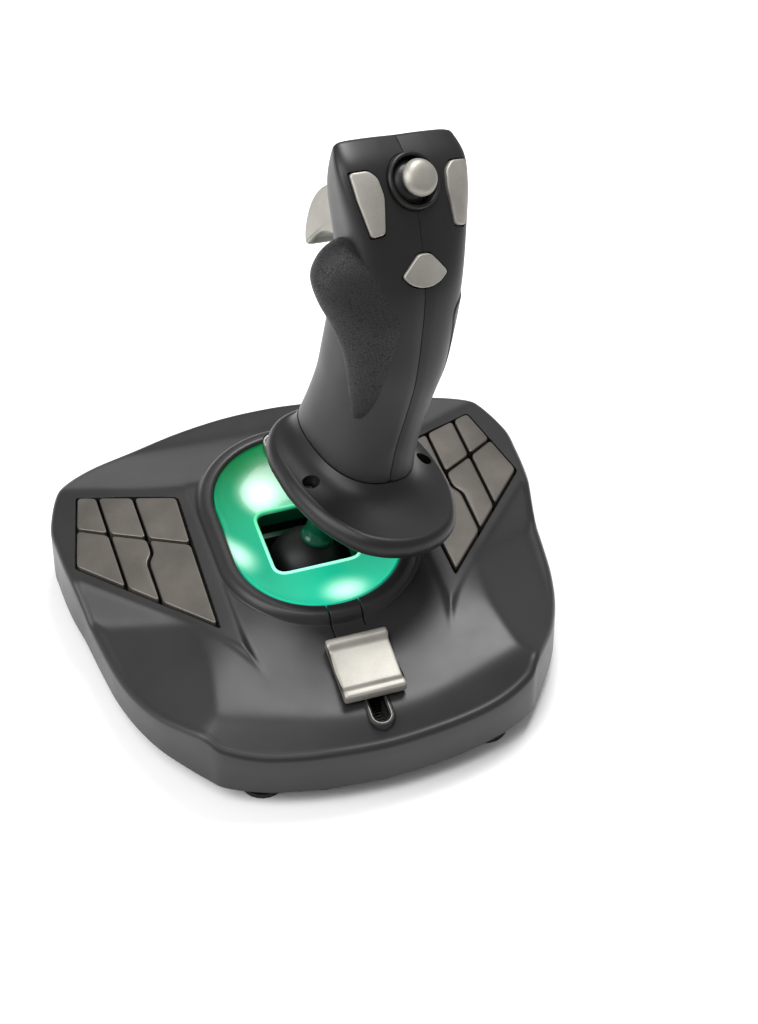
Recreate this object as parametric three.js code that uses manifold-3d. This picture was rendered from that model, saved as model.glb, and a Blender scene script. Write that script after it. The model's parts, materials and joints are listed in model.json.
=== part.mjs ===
// Flight joystick: a wide base with twelve buttons, a lit ring around the well,
// a throttle slider, and a twisting grip on a two-axis gimbal.
// Millimetres, +Z up. X = right, Y = away from the user. The origin is on the
// table under the middle of the base outline. The stick is built in its own
// frame (Z along the shaft) and then leaned to its rest pose.
import * as THREE from 'three';
import { mergeVertices } from 'three/addons/utils/BufferGeometryUtils.js';
import Module from 'manifold-3d';

const wasm = await Module();
wasm.setup();

// ---------------------------------------------------------------- dimensions
const RIM_Z = 44;            // height of the light ring's rim above the table
const RING_R = 34;           // radius of the ring's two ends
const RING_S = 15;           // half length of the ring's straight sides
const COLLAR_W = 8.1;        // width of the raised lip around the ring
const OPEN_HALF = 18.2;      // half width of the square opening in the well
const OPEN_Z = 34;           // height of that opening
const LINER_BOTTOM = 26;
const PIVOT_Z = 15;          // height of the gimbal's centre
const LEAN = 14;             // rest lean of the stick to the right, degrees
const TWIST = 12.5;          // rest twist of the grip, degrees
const DOME_R = 17.5;         // outer radius of the dust dome
const SHAFT_R = 5.3;
const WALL = 3;              // base shell wall
const SPLIT_Z = 8;           // parting plane of the base shells
const GAP = 0.35;            // gap kept between neighbouring pieces
const Y_SHIFT = 9.75;        // ring centre to the middle of the base outline
const SLOPE = 0.15;          // fall of the front panel per mm towards the user
const PANEL_Z0 = 41;         // panel height at y = -50
const CAP_Y = -80;           // slider cap centre
const CAP_W = 25;
const PLUG_Y = 47.5;         // locking plug behind the ring
const SLOT_Y0 = -66, SLOT_Y1 = -104, SLOT_W = 6;
const FLANGE_Z0 = 60, FLANGE_TOP = 75.5;
const SCREW_AT = [26.5, -18.5]; // screw hole in the skirt, mirrored in x
const GIMBAL_OUT = 21, GIMBAL_IN = 18.3, GIMBAL_H = 6;
const BUTTON_LIFT = 0.9;     // how far a base button stands proud

// Half outline of the base, from the middle of the front to the middle of the
// rear, measured from the ring centre.
const BASE_HALF = [[0, -112], [25, -110], [47, -105], [62, -98], [67.5, -92], [75, -82], [82, -71],
  [88, -57], [92, -42], [94.5, -25], [96.5, -8], [99, 8], [100, 24], [99.5, 38], [92, 57], [79, 69.5],
  [62, 78], [40, 85], [18, 89], [0, 90]];
// Corners of the button field (right side, mirrored for the left).
const FIELD = [[47, 30], [86, 48], [95, 10], [49, -45]];
const BUTTONS = {
  1: [[47, 30], [64, 37.8], [64, 12.4], [48, 2]],
  2: [[64, 37.8], [78, 44.3], [78, 21.5], [64, 12.4]],
  3: [[78, 44.3], [86, 48], [90.3, 30], [78, 21.5]],
  4: [[48, 2], [64, 12.4], [64, 4], [67, -0.5], [67, -23.5], [49, -45]],
  5: [[64, 12.4], [78, 21.5], [78, -10.3], [67, -23.5], [67, -0.5], [64, 4]],
  6: [[78, 21.5], [90.3, 30], [95, 10], [78, -10.3]],
};
// Grip sections in the stick frame: front point, back point (y, z), half
// width, corner exponent and how much the section flares towards the back
// point. They turn from level at the foot to steep at the top of the head.
const SECTIONS = [
  { f: [22, 76], b: [-33, 76], w: 20, n: 2.4, a: 0 },
  { f: [20, 87], b: [-31, 90], w: 19.5, n: 2.4, a: 0 },
  { f: [18, 101], b: [-31, 109], w: 20, n: 2.4, a: 0 },
  { f: [17, 115], b: [-30.5, 124], w: 21.5, n: 2.5, a: 0 },
  { f: [17, 130], b: [-27, 140], w: 22.5, n: 2.6, a: 0.02 },
  { f: [18, 143], b: [-22.5, 155], w: 23, n: 2.8, a: 0.05 },
  { f: [21, 155], b: [-17.5, 165], w: 22.8, n: 3.2, a: 0.1 },
  { f: [26, 165], b: [-8.5, 178], w: 23.8, n: 3.8, a: 0.14 },
  { f: [29.5, 173], b: [1, 189], w: 25.3, n: 4.4, a: 0.17 },
  { f: [30, 181], b: [10.5, 197], w: 26, n: 4.8, a: 0.17 },
  { f: [28.5, 188.5], b: [20, 201], w: 25, n: 4.8, a: 0.12 },
];
// Half outline of the palm skirt (x, y), front to back.
const SKIRT_HALF = [[0, 26], [12, 24.6], [21, 20.5], [28, 13], [32, 4], [33.5, -6], [34, -18],
  [32, -32], [28, -43], [22, -52.5], [14, -58], [6, -60.5], [0, -61]];

// ------------------------------------------------------------------- helpers
const rad = THREE.MathUtils.degToRad;
const V = (x, y, z) => new THREE.Vector3(x, y, z);

// A closed three.js geometry as a solid.
function solid(geometry, matrix) {
  const g = geometry.clone();
  g.deleteAttribute('normal');
  g.deleteAttribute('uv');
  if (matrix) g.applyMatrix4(matrix);
  const m = mergeVertices(g, 1e-4);
  const make = (triVerts) => new wasm.Manifold(new wasm.Mesh({
    numProp: 3, vertProperties: new Float32Array(m.attributes.position.array), triVerts }));
  const tris = new Uint32Array(m.index.array);
  const body = make(tris);
  if (body.volume() > 0) return body;
  for (let i = 0; i < tris.length; i += 3) [tris[i], tris[i + 1]] = [tris[i + 1], tris[i]];
  return make(tris);
}
function toGeometry(man) {
  const mesh = man.getMesh();
  const g = new THREE.BufferGeometry();
  const p = new Float32Array(mesh.numVert * 3);
  for (let i = 0; i < mesh.numVert; i++) {
    for (let k = 0; k < 3; k++) p[3 * i + k] = mesh.vertProperties[i * mesh.numProp + k];
  }
  g.setAttribute('position', new THREE.BufferAttribute(p, 3));
  g.setIndex(new THREE.BufferAttribute(new Uint32Array(mesh.triVerts), 1));
  return g;
}
const at = (x, y, z) => new THREE.Matrix4().makeTranslation(x, y, z);
function box(x0, x1, y0, y1, z0, z1) {
  return solid(new THREE.BoxGeometry(x1 - x0, y1 - y0, z1 - z0), at((x0 + x1) / 2, (y0 + y1) / 2, (z0 + z1) / 2));
}
// Cylinder between two points.
function rod(a, b, r, sides = 20, r2 = r) {
  const d = b.clone().sub(a);
  const q = new THREE.Quaternion().setFromUnitVectors(V(0, 1, 0), d.clone().normalize());
  const m = new THREE.Matrix4().compose(a.clone().add(b).multiplyScalar(0.5), q, V(1, 1, 1));
  return solid(new THREE.CylinderGeometry(r2, r, d.length(), sides), m);
}
// Upright prism over a plan outline, or along another frame.
function prism(points, z0, z1, matrix) {
  const shape = new THREE.Shape(points.map(([x, y]) => new THREE.Vector2(x, y)));
  const g = new THREE.ExtrudeGeometry(shape, { depth: z1 - z0, bevelEnabled: false, curveSegments: 8 });
  g.translate(0, 0, z0);
  return solid(g, matrix);
}
// Body through a stack of rings with the same number of points; a loop joins
// the last ring to the first.
function loft(rings, loop = false) {
  const n = rings[0].length, pos = [], idx = [];
  for (const r of rings) for (const p of r) pos.push(p.x, p.y, p.z);
  const count = rings.length;
  for (let i = 0; i < (loop ? count : count - 1); i++) {
    for (let k = 0; k < n; k++) {
      const j = (i + 1) % count;
      const a = i * n + k, b = i * n + (k + 1) % n, c = j * n + k, d = j * n + (k + 1) % n;
      idx.push(a, b, d, a, d, c);
    }
  }
  const cap = (ring, base, flip) => {
    const c = ring.reduce((s, p) => s.add(p), V(0, 0, 0)).multiplyScalar(1 / n);
    const ci = pos.length / 3;
    pos.push(c.x, c.y, c.z);
    for (let k = 0; k < n; k++) {
      const a = base + k, b = base + (k + 1) % n;
      flip ? idx.push(ci, b, a) : idx.push(ci, a, b);
    }
  };
  if (!loop) {
    cap(rings[0], 0, true);
    cap(rings[count - 1], (count - 1) * n, false);
  }
  const g = new THREE.BufferGeometry();
  g.setAttribute('position', new THREE.Float32BufferAttribute(pos, 3));
  g.setIndex(idx);
  return solid(g);
}
const mirror = (pts) => pts.map(([x, y]) => [-x, y]).reverse();
function outlineFromHalf(half) {
  return [...half, ...mirror(half).filter(([x]) => Math.abs(x) > 1e-6)];
}
// Move every edge of an outline sideways by d (inwards when d < 0).
function offset(pts, d) {
  const n = pts.length;
  let area = 0;
  for (let i = 0; i < n; i++) {
    const [x0, y0] = pts[i], [x1, y1] = pts[(i + 1) % n];
    area += x0 * y1 - x1 * y0;
  }
  const s = area > 0 ? 1 : -1;
  return pts.map((p, i) => {
    const a = pts[(i + n - 1) % n], b = pts[(i + 1) % n];
    const u = new THREE.Vector2(p[0] - a[0], p[1] - a[1]).normalize();
    const v = new THREE.Vector2(b[0] - p[0], b[1] - p[1]).normalize();
    const n1 = new THREE.Vector2(u.y * s, -u.x * s), n2 = new THREE.Vector2(v.y * s, -v.x * s);
    const m = n1.clone().add(n2).normalize();
    const k = d / Math.max(0.35, m.dot(n1));
    return [p[0] + m.x * k, p[1] + m.y * k];
  });
}
function stadium(r, s, steps = 10) {
  const pts = [];
  for (let i = 0; i <= steps; i++) {
    const t = Math.PI * i / steps;
    pts.push([r * Math.cos(t), s + r * Math.sin(t)]);
  }
  for (let i = 0; i <= steps; i++) {
    const t = Math.PI + Math.PI * i / steps;
    pts.push([r * Math.cos(t), -s + r * Math.sin(t)]);
  }
  return pts;
}
// Sample an outline at even angles about a centre, so that rings match.
function polar(pts, [cx, cy], n) {
  const out = [];
  for (let k = 0; k < n; k++) {
    const t = 2 * Math.PI * k / n + 1e-4, dx = Math.cos(t), dy = Math.sin(t);
    let best = 0;
    for (let i = 0; i < pts.length; i++) {
      const [ax, ay] = pts[i], [bx, by] = pts[(i + 1) % pts.length];
      const ex = bx - ax, ey = by - ay, det = dx * -ey + dy * ex;
      if (Math.abs(det) < 1e-12) continue;
      const wx = ax - cx, wy = ay - cy;
      const r = (wx * -ey + wy * ex) / det, q = (dx * wy - dy * wx) / det;
      if (q >= -1e-9 && q <= 1 + 1e-9 && r > best) best = r;
    }
    out.push([cx + best * dx, cy + best * dy]);
  }
  return out;
}
const ringAt = (pts, z) => pts.map(([x, y]) => V(x, y, z));
const mix = (a, b, t) => a.map(([x, y], i) => [x + (b[i][0] - x) * t, y + (b[i][1] - y) * t]);
// Everything above the plane through three points.
function above(p, q, r, size = 500) {
  const nrm = q.clone().sub(p).cross(r.clone().sub(p)).normalize();
  if (nrm.z < 0) nrm.negate();
  const rot = new THREE.Quaternion().setFromUnitVectors(V(0, 0, 1), nrm);
  const m = new THREE.Matrix4().compose(p.clone().addScaledVector(nrm, size / 2), rot, V(1, 1, 1));
  return solid(new THREE.BoxGeometry(size, size, size), m);
}
const roundedRect = (hw, hd, r, steps = 4) => {
  const pts = [];
  for (const [sx, sy, t0] of [[1, 1, 0], [-1, 1, 90], [-1, -1, 180], [1, -1, 270]]) {
    for (let i = 0; i <= steps; i++) {
      const t = rad(t0 + 90 * i / steps);
      pts.push([sx * (hw - r) + r * Math.cos(t), sy * (hd - r) + r * Math.sin(t)]);
    }
  }
  return pts;
};

// ---------------------------------------------------------------- materials
const material = (color, roughness, metalness) => new THREE.MeshStandardMaterial({ color, roughness, metalness });
const charcoal = () => material(0x343334, 0.55, 0);
const silver = () => material(0xb9b6b0, 0.35, 0.7);
const gunmetal = () => material(0x6b6761, 0.4, 0.6);
const steel = () => material(0x9a9a98, 0.3, 1);
const black = () => material(0x161616, 0.6, 0);
const rubber = () => material(0x1c1c1c, 0.85, 0);
const board = () => material(0x14502e, 0.5, 0.1);
const greenGlow = () => material(0x35d8a8, 0.25, 0);

const root = new THREE.Group();
const base = new THREE.Group();
base.position.set(0, Y_SHIFT, 0);
root.add(base);
const stick = new THREE.Group();
stick.position.set(0, Y_SHIFT, PIVOT_Z);
stick.rotation.set(0, rad(LEAN), 0);
root.add(stick);
const grip = new THREE.Group();
grip.rotation.set(0, 0, rad(TWIST));
stick.add(grip);

function add(parent, name, man, mat) {
  const mesh = new THREE.Mesh(toGeometry(man), mat);
  mesh.name = name;
  parent.add(mesh);
}

// --------------------------------------------------------------- base shells
const outline = outlineFromHalf(BASE_HALF);
const panelZ = (y) => PANEL_Z0 + SLOPE * (y + 50);
const fieldZ = (x) => 41 - 0.146 * (Math.abs(x) - 47);

// The outer form of the base, drawn in by t on every side.
function baseForm(t, floor) {
  const plan = t ? offset(outline, -t) : outline;
  const main = prism(plan, floor, 60);
  const drop = V(0, 0, -t * 1.04);
  const p = (x, y, z) => V(x, y, z).add(drop);
  const flat = above(p(0, 0, 41), p(1, 0, 41), p(0, 1, 41));
  let form = main.subtract(above(p(0, -50, PANEL_Z0), p(10, -50, PANEL_Z0), p(0, -112, panelZ(-112)))).subtract(flat)
    .subtract(above(p(0, -100, 33.5), p(10, -100, 33.5), p(0, -112, 26.3)));
  for (const s of [1, -1]) {
    form = form.subtract(above(p(s * 47, 0, 41), p(s * 47, 10, 41), p(s * 95, 0, 34)))
      .subtract(above(p(s * 62.5, -20, 38.7), p(s * 62.5, -84, 35.6), p(s * 90, -40, 24)))
      .subtract(above(p(s * 21.3, -98.6, 33.7), p(s * 58.3, -86.6, 35.5), p(s * 25, -110, 26.6)));
  }
  // The button fields stand above the side panels, behind a sloping edge.
  for (const s of [1, -1]) {
    const a = FIELD[3], d = FIELD[2];
    const plan = offset(s > 0 ? FIELD : mirror(FIELD), 8 - t);
    form = form.add(main.intersect(prism(plan, floor, 60)).subtract(flat)
      .subtract(above(p(s * 47, 0, 41), p(s * 47, 10, 41), p(s * 95, 0, 34)))
      .subtract(above(p(s * (a[0] + 3), a[1] - 3.5, 39), p(s * (d[0] + 3), d[1] - 3.5, 33.6),
        p(s * (d[0] + 11), d[1] - 10, 22))));
  }
  for (const s of [1, -1]) {
    form = form.subtract(above(p(s * 38, 36, 41), p(s * 86, 54, 35), p(s * 18, 89, 20)));
  }
  return form;
}
function collarForm(t) {
  const rings = [[20, COLLAR_W], [38, COLLAR_W], [41.5, 7.5], [43.6, 6.1], [44.6, 4.1], [44.6, 3]].map(([z, g]) =>
    ringAt(stadium(RING_R + g - t, RING_S), z - (z > 40 ? t : 0)));
  return loft(rings);
}
const wellCut = prism(stadium(RING_R + 0.4, RING_S), 0, 60);
const fieldHole = offset(FIELD, 0.5);
const slotPlan = (w) => {
  const pts = [];
  const r = w / 2;
  for (let i = 0; i <= 6; i++) pts.push([r * Math.cos(Math.PI * i / 6), SLOT_Y0 - r + r * Math.sin(Math.PI * i / 6)]);
  for (let i = 0; i <= 6; i++) pts.push([r * Math.cos(Math.PI * (1 + i / 6)), SLOT_Y1 + r + r * Math.sin(Math.PI * (1 + i / 6))]);
  return pts;
};
let upper = baseForm(0, SPLIT_Z).add(collarForm(0))
  .subtract(baseForm(WALL, SPLIT_Z - 1).add(collarForm(WALL)))
  .subtract(wellCut)
  .subtract(prism(fieldHole, 20, 60)).subtract(prism(mirror(fieldHole), 20, 60))
  .subtract(prism(slotPlan(SLOT_W), 10, 60))
  .subtract(rod(V(0, PLUG_Y, 30), V(0, PLUG_Y, 60), 5.2))
  .subtract(rod(V(0, 70, 13), V(0, 100, 13), 4.4));
add(base, 'base_shell_upper', upper, charcoal());

const panPlan = offset(outline, -4.2);
let lower = prism(panPlan, 2.5, SPLIT_Z - GAP)
  .subtract(prism(offset(outline, -7), 4.3, SPLIT_Z + 1));
add(base, 'base_shell_lower', lower, black());

const FEET = { front_left: [-46, -92], front_right: [46, -92], rear_left: [-72, 52], rear_right: [72, 52] };
for (const [name, [x, y]] of Object.entries(FEET)) {
  add(base, `foot_${name}`, rod(V(x, y, 0), V(x, y, 2.5 - 0.3), 9, 24), rubber());
}

// ------------------------------------------------------ well and light ring
const N_RING = 40;
const stadiumRing = (r) => polar(stadium(r, RING_S), [0, 0], N_RING);
const squareRing = (h) => polar(roundedRect(h, h, 3.5), [0, 0], N_RING);
const stadiumEdge = stadiumRing(RING_R), innerEdge = stadiumRing(RING_R - 2.2);
const PROFILE = [[0, 0], [0.03, 0.9], [0.12, 2.6], [0.3, 4.9], [0.55, 7.2], [0.8, 9], [1, 10]];
const ringLoop = [ringAt(stadiumEdge, RIM_Z - 6), ...PROFILE.map(([t, dz]) =>
  ringAt(mix(stadiumEdge, squareRing(OPEN_HALF), t), RIM_Z - dz)),
ringAt(squareRing(OPEN_HALF), OPEN_Z - 4), ringAt(squareRing(OPEN_HALF + 1.6), OPEN_Z - 4),
...[[0.8, 9], [0.55, 7.2], [0.3, 4.9]].map(([t, dz]) =>
  ringAt(mix(innerEdge, squareRing(OPEN_HALF + 1.6), t), RIM_Z - dz - 2.6)), ringAt(innerEdge, RIM_Z - 6)];
add(base, 'light_ring', loft(ringLoop, true).subtract(rod(V(0, PLUG_Y, 25), V(0, PLUG_Y, 60), 5.2, 28)), greenGlow());

const linerPlan = roundedRect(OPEN_HALF + 1.2, OPEN_HALF + 1.2, 3.5);
add(base, 'well_liner', prism(linerPlan, LINER_BOTTOM, 30 - GAP)
  .subtract(prism(roundedRect(OPEN_HALF, OPEN_HALF, 3), 20, 40)), black());

add(base, 'ring_light_board', prism(stadium(RING_R - 1, RING_S), 22, 23.6)
  .subtract(prism(stadium(RING_R - 9, RING_S), 20, 25)), board());

// Locking plug behind the ring.
add(base, 'rear_lock_plug', rod(V(0, PLUG_Y, 33), V(0, PLUG_Y, 44), 4.8, 24)
  .subtract(box(-0.8, 0.8, 40, 70, 42.6, 60)), silver());

// -------------------------------------------------------------- base buttons
for (const side of [1, -1]) {
  const word = side > 0 ? 'right' : 'left';
  const topCut = above(V(side * 47, 0, 41 + BUTTON_LIFT), V(side * 47, 10, 41 + BUTTON_LIFT), V(side * 95, 0, 34 + BUTTON_LIFT));
  const low = above(V(side * 47, 0, 36), V(side * 47, 10, 36), V(side * 95, 0, 29));
  for (const [k, pts] of Object.entries(BUTTONS)) {
    const plan = offset(side > 0 ? pts : mirror(pts), -0.45);
    const b = prism(plan, 20, 60).subtract(topCut).intersect(low);
    add(base, `base_button_${word}_${k}`, b, gunmetal());
  }
}

// ------------------------------------------------------------ throttle slider
const slideFrame = new THREE.Matrix4().makeTranslation(0, CAP_Y, panelZ(CAP_Y))
  .multiply(new THREE.Matrix4().makeRotationX(Math.atan(SLOPE)));
const capProfile = [[-14, 1.2], [14, 1.2], [14, 6.2], [11, 6.2], [9.3, 4.6], [-9.3, 4.6], [-11, 6.2], [-14, 6.2]];
const capBody = (() => {
  // Side profile (y, z) pulled across the width.
  const shape = new THREE.Shape(capProfile.map(([y, z]) => new THREE.Vector2(y, z)));
  const g = new THREE.ExtrudeGeometry(shape, { depth: CAP_W, bevelEnabled: false });
  g.rotateX(Math.PI / 2);
  g.rotateZ(Math.PI / 2);
  g.translate(-CAP_W / 2, 0, 0);
  g.computeBoundingBox();
  const bb = g.boundingBox;
  g.translate(-(bb.min.x + bb.max.x) / 2, 0, 0);
  return solid(g, slideFrame);
})();
const stem = solid(new THREE.BoxGeometry(SLOT_W - 1, 12, 14), slideFrame.clone().multiply(at(0, 0, -5.5)));
add(base, 'throttle_slider', capBody.add(stem), silver());
const slideRail = (t0, t1, w) => {
  const wide = slotPlan(w).map(([x, y]) => [x, y + (y > -87 ? (w - SLOT_W) / 2 : -(w - SLOT_W) / 2)]);
  const lo = V(0, 0, t0), hi = V(0, 0, t1);
  return prism(wide, 0, 60)
    .subtract(above(V(0, -50, PANEL_Z0).add(hi), V(10, -50, PANEL_Z0).add(hi), V(0, -112, panelZ(-112)).add(hi)))
    .intersect(above(V(0, -50, PANEL_Z0).add(lo), V(10, -50, PANEL_Z0).add(lo), V(0, -112, panelZ(-112)).add(lo)));
};
add(base, 'slot_bezel', slideRail(0.3, 1.0, SLOT_W + 5).subtract(prism(slotPlan(SLOT_W), 0, 60)), gunmetal());
add(base, 'slide_potentiometer', solid(new THREE.BoxGeometry(9, 42, 5), slideFrame.clone().multiply(at(0, -2, -15.6))), steel());

// ----------------------------------------------------- inside the base
const tower = (s) => box(s > 0 ? 23.4 : -29.4, s > 0 ? 29.4 : -23.4, -9, 9, 4.6, 21)
  .subtract(rod(V(s * 20, 0, PIVOT_Z), V(s * 35, 0, PIVOT_Z), 4.4, 24));
add(base, 'gimbal_housing_left', tower(-1), black());
add(base, 'gimbal_housing_right', tower(1), black());
for (const s of [1, -1]) {
  add(base, `bearing_${s > 0 ? 'right' : 'left'}`, rod(V(s * 24, 0, PIVOT_Z), V(s * 28.6, 0, PIVOT_Z), 4.1, 20)
    .subtract(rod(V(s * 20, 0, PIVOT_Z), V(s * 34, 0, PIVOT_Z), 2.4, 16)), steel());
}
add(base, 'main_board', box(-44, 44, 44, 74, 8.6, 10.2), board());
add(base, 'ballast_plate_left', box(-72, -36, -40, 24, 4.7, 8.7), steel());
add(base, 'ballast_plate_right', box(36, 72, -40, 24, 4.7, 8.7), steel());
add(base, 'cable_gland', rod(V(0, 76, 13), V(0, 92.5, 13), 3.9, 20)
  .subtract(rod(V(0, 70, 13), V(0, 99, 13), 2.3, 16)), rubber());

// -------------------------------------------------------------------- gimbal
// The ring pitches about X in the base; the shaft rolls about Y in the ring.
const gimbalGroup = new THREE.Group();
gimbalGroup.position.set(0, Y_SHIFT, PIVOT_Z);
root.add(gimbalGroup);
let gring = prism(roundedRect(GIMBAL_OUT, GIMBAL_OUT, 4), -GIMBAL_H / 2, GIMBAL_H / 2)
  .subtract(prism(roundedRect(GIMBAL_IN, GIMBAL_IN, 4), -9, 9))
  .subtract(rod(V(0, -30, 0), V(0, 30, 0), 1.9, 16))
  .add(rod(V(GIMBAL_OUT - 1, 0, 0), V(28.4, 0, 0), 2, 16))
  .add(rod(V(-GIMBAL_OUT + 1, 0, 0), V(-28.4, 0, 0), 2, 16));
add(gimbalGroup, 'gimbal_ring', gring, steel());

// --------------------------------------------------------------------- shaft
let shaft = rod(V(0, 0, -4), V(0, 0, 96), SHAFT_R - 1.3, 20)
  .add(rod(V(0, -20.6, 0), V(0, 20.6, 0), 1.5, 16))
  .add(rod(V(0, 0, -4), V(0, 0, 4), 6.5, 20))
  .add(rod(V(0, 0, 50), V(0, 0, 58), 7.5, 20));
add(stick, 'stick_shaft', shaft, steel());
add(stick, 'shaft_sleeve', rod(V(0, 0, DOME_R + 0.4), V(0, 0, 49.6), SHAFT_R + 0.5, 28, SHAFT_R)
  .subtract(rod(V(0, 0, 0), V(0, 0, 60), SHAFT_R - 0.95, 20)), greenGlow());
const domeProfile = [];
for (let i = 0; i <= 12; i++) {
  const a = rad(14 + 67 * i / 12);
  domeProfile.push(new THREE.Vector2(DOME_R * Math.sin(a), DOME_R * Math.cos(a)));
}
for (let i = 12; i >= 0; i--) {
  const a = rad(17 + 64 * i / 12);
  domeProfile.push(new THREE.Vector2((DOME_R - 2) * Math.sin(a), (DOME_R - 2) * Math.cos(a)));
}
domeProfile.push(domeProfile[0].clone());
const domeGeometry = new THREE.LatheGeometry(domeProfile, 32);
domeGeometry.rotateX(Math.PI / 2);
add(stick, 'dust_dome', solid(domeGeometry), black());
add(stick, 'sensor_magnet', rod(V(0, 0, -6.6), V(0, 0, -4.35), 2.5, 16), steel());

// ---------------------------------------------------------------------- skirt
const N_SK = 44;
const skirtPlan = (() => {
  const c = new THREE.CatmullRomCurve3(outlineFromHalf(SKIRT_HALF).map(([x, y]) => V(x, y, 0)), true);
  return c.getPoints(120).slice(0, -1).map((p) => [p.x, p.y]);
})();
const footPlan = (grow) => {
  const s = SECTIONS[0], hd = (s.f[0] - s.b[0]) / 2 + grow, cy = (s.f[0] + s.b[0]) / 2, pts = [];
  for (let k = 0; k < 60; k++) {
    const t = 2 * Math.PI * k / 60;
    const c = Math.cos(t), q = Math.sin(t);
    pts.push([(s.w + grow) * Math.sign(c) * Math.abs(c) ** (2 / s.n), cy + hd * Math.sign(q) * Math.abs(q) ** (2 / s.n)]);
  }
  return pts;
};
const SK_C = [0, -12];
const sk = (d) => polar(offset(skirtPlan, d), SK_C, N_SK);
const nk = (d) => polar(footPlan(d), SK_C, N_SK);
const skirtOuter = loft([
  ringAt(sk(-2), FLANGE_Z0), ringAt(sk(-0.4), FLANGE_Z0 + 1.2), ringAt(sk(0), FLANGE_Z0 + 4), ringAt(sk(-0.6), FLANGE_Z0 + 7),
  ringAt(sk(-2.6), FLANGE_Z0 + 8.6), ringAt(mix(sk(-2.6), nk(0.8), 0.4), FLANGE_Z0 + 9.6),
  ringAt(mix(sk(-2.6), nk(0.8), 0.75), FLANGE_Z0 + 11.4), ringAt(nk(1.6), FLANGE_Z0 + 13.6), ringAt(nk(0.4), FLANGE_TOP)]);
const skirtInner = loft([
  ringAt(sk(-4.4), FLANGE_Z0 - 1), ringAt(sk(-4.4), FLANGE_Z0 + 5.4),
  ringAt(mix(sk(-4.4), nk(-2), 0.5), FLANGE_Z0 + 7.2), ringAt(nk(-2), FLANGE_Z0 + 9.6), ringAt(nk(-2.6), FLANGE_TOP - 2.6)]);
let skirt = skirtOuter.subtract(skirtInner
  .subtract(rod(V(SCREW_AT[0], SCREW_AT[1], 50), V(SCREW_AT[0], SCREW_AT[1], 80), 5.2))
  .subtract(rod(V(-SCREW_AT[0], SCREW_AT[1], 50), V(-SCREW_AT[0], SCREW_AT[1], 80), 5.2)));
for (const s of [1, -1]) {
  skirt = skirt.subtract(rod(V(s * SCREW_AT[0], SCREW_AT[1], 50), V(s * SCREW_AT[0], SCREW_AT[1], 80), 3.3, 20));
}
skirt = skirt.subtract(rod(V(0, 0, 60), V(0, 0, 90), 8.2, 24));
add(grip, 'palm_skirt', skirt, charcoal());
for (const s of [1, -1]) {
  add(grip, `skirt_screw_${s > 0 ? 'right' : 'left'}`, rod(V(s * SCREW_AT[0], SCREW_AT[1], 60.4), V(s * SCREW_AT[0], SCREW_AT[1], 65.4), 2.5, 16)
    .subtract(box(s * SCREW_AT[0] - 0.5, s * SCREW_AT[0] + 0.5, SCREW_AT[1] - 2, SCREW_AT[1] + 2, 64.4, 66)), steel());
}

// ---------------------------------------------------------------------- grip
const N_GRIP = 28;
// A grip section grown outwards by d; the last one also moves forwards.
function gripRing(s, d, push = 0) {
  const f = V(0, s.f[0], s.f[1]), b = V(0, s.b[0], s.b[1]);
  const e = b.clone().sub(f), len = e.length() / 2;
  e.normalize();
  const c = f.clone().add(b).multiplyScalar(0.5).add(V(0, e.z, -e.y).multiplyScalar(push));
  const pts = [];
  for (let k = 0; k < N_GRIP; k++) {
    const t = 2 * Math.PI * k / N_GRIP;
    const cu = Math.cos(t), su = Math.sin(t);
    const u = Math.sign(cu) * Math.abs(cu) ** (2 / s.n) * (len + d);
    const x = Math.sign(su) * Math.abs(su) ** (2 / s.n) * (s.w + d) * (1 + s.a * Math.sign(cu) * Math.abs(cu) ** (2 / s.n));
    pts.push(c.clone().addScaledVector(e, u).add(V(x, 0, 0)));
  }
  return pts;
}
const last = SECTIONS[SECTIONS.length - 1];
const noseRing = { ...last, w: last.w - 2, f: [29.5, 190.7], b: [22.4, 201] };
const gripForm = (d, foot = 0) => loft([
  ...(foot ? [gripRing(SECTIONS[0], d).map((p) => p.clone().setZ(p.z - foot))] : []),
  ...SECTIONS.map((s) => gripRing(s, d)), ...(d < 0 ? [] : [gripRing(noseRing, d, d)])]);
const gripOuter = gripForm(0);

// Frames on the head: origin on the surface, Z outwards.
function faceFrame(p, n, up = V(0, 1, 0)) {
  const z = n.clone().normalize(), x = up.clone().cross(z).normalize(), y = z.clone().cross(x);
  return new THREE.Matrix4().makeBasis(x, y, z).setPosition(p);
}
const HAT = { p: V(0, 4.5, 192.6), n: V(0, -0.66, 0.75) };
const hatFrame = faceFrame(HAT.p, HAT.n);
const lowFrame = faceFrame(V(0, -17, 165), V(0, -0.86, 0.5));
const paddleFrame = (s) => faceFrame(V(s * 19.3, 1.5, 187.2), V(s * 0.22, -0.69, 0.69));
const coverFrame = faceFrame(V(20, -6, 122), V(0.93, -0.37, 0), V(0, 0, 1));

const lowPlan = [[-10, 0.3], [-6, 4.6], [-2.6, 8], [2.6, 8], [6, 4.6], [10, 0.3], [6.5, -3], [2.4, -4.6], [-2.4, -4.6], [-6.5, -3]];
const paddlePlan = (s) => [[-6.2, 7.5], [-3.6, 11.2], [3.7, 12.8], [4.6, 2.5], [4.3, -12.2], [-0.9, -12.8], [-5.9, 0.2]].map(([x, y]) => [s * x, y]);
const coverPlan = roundedRect(17, 30, 7, 3);

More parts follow.
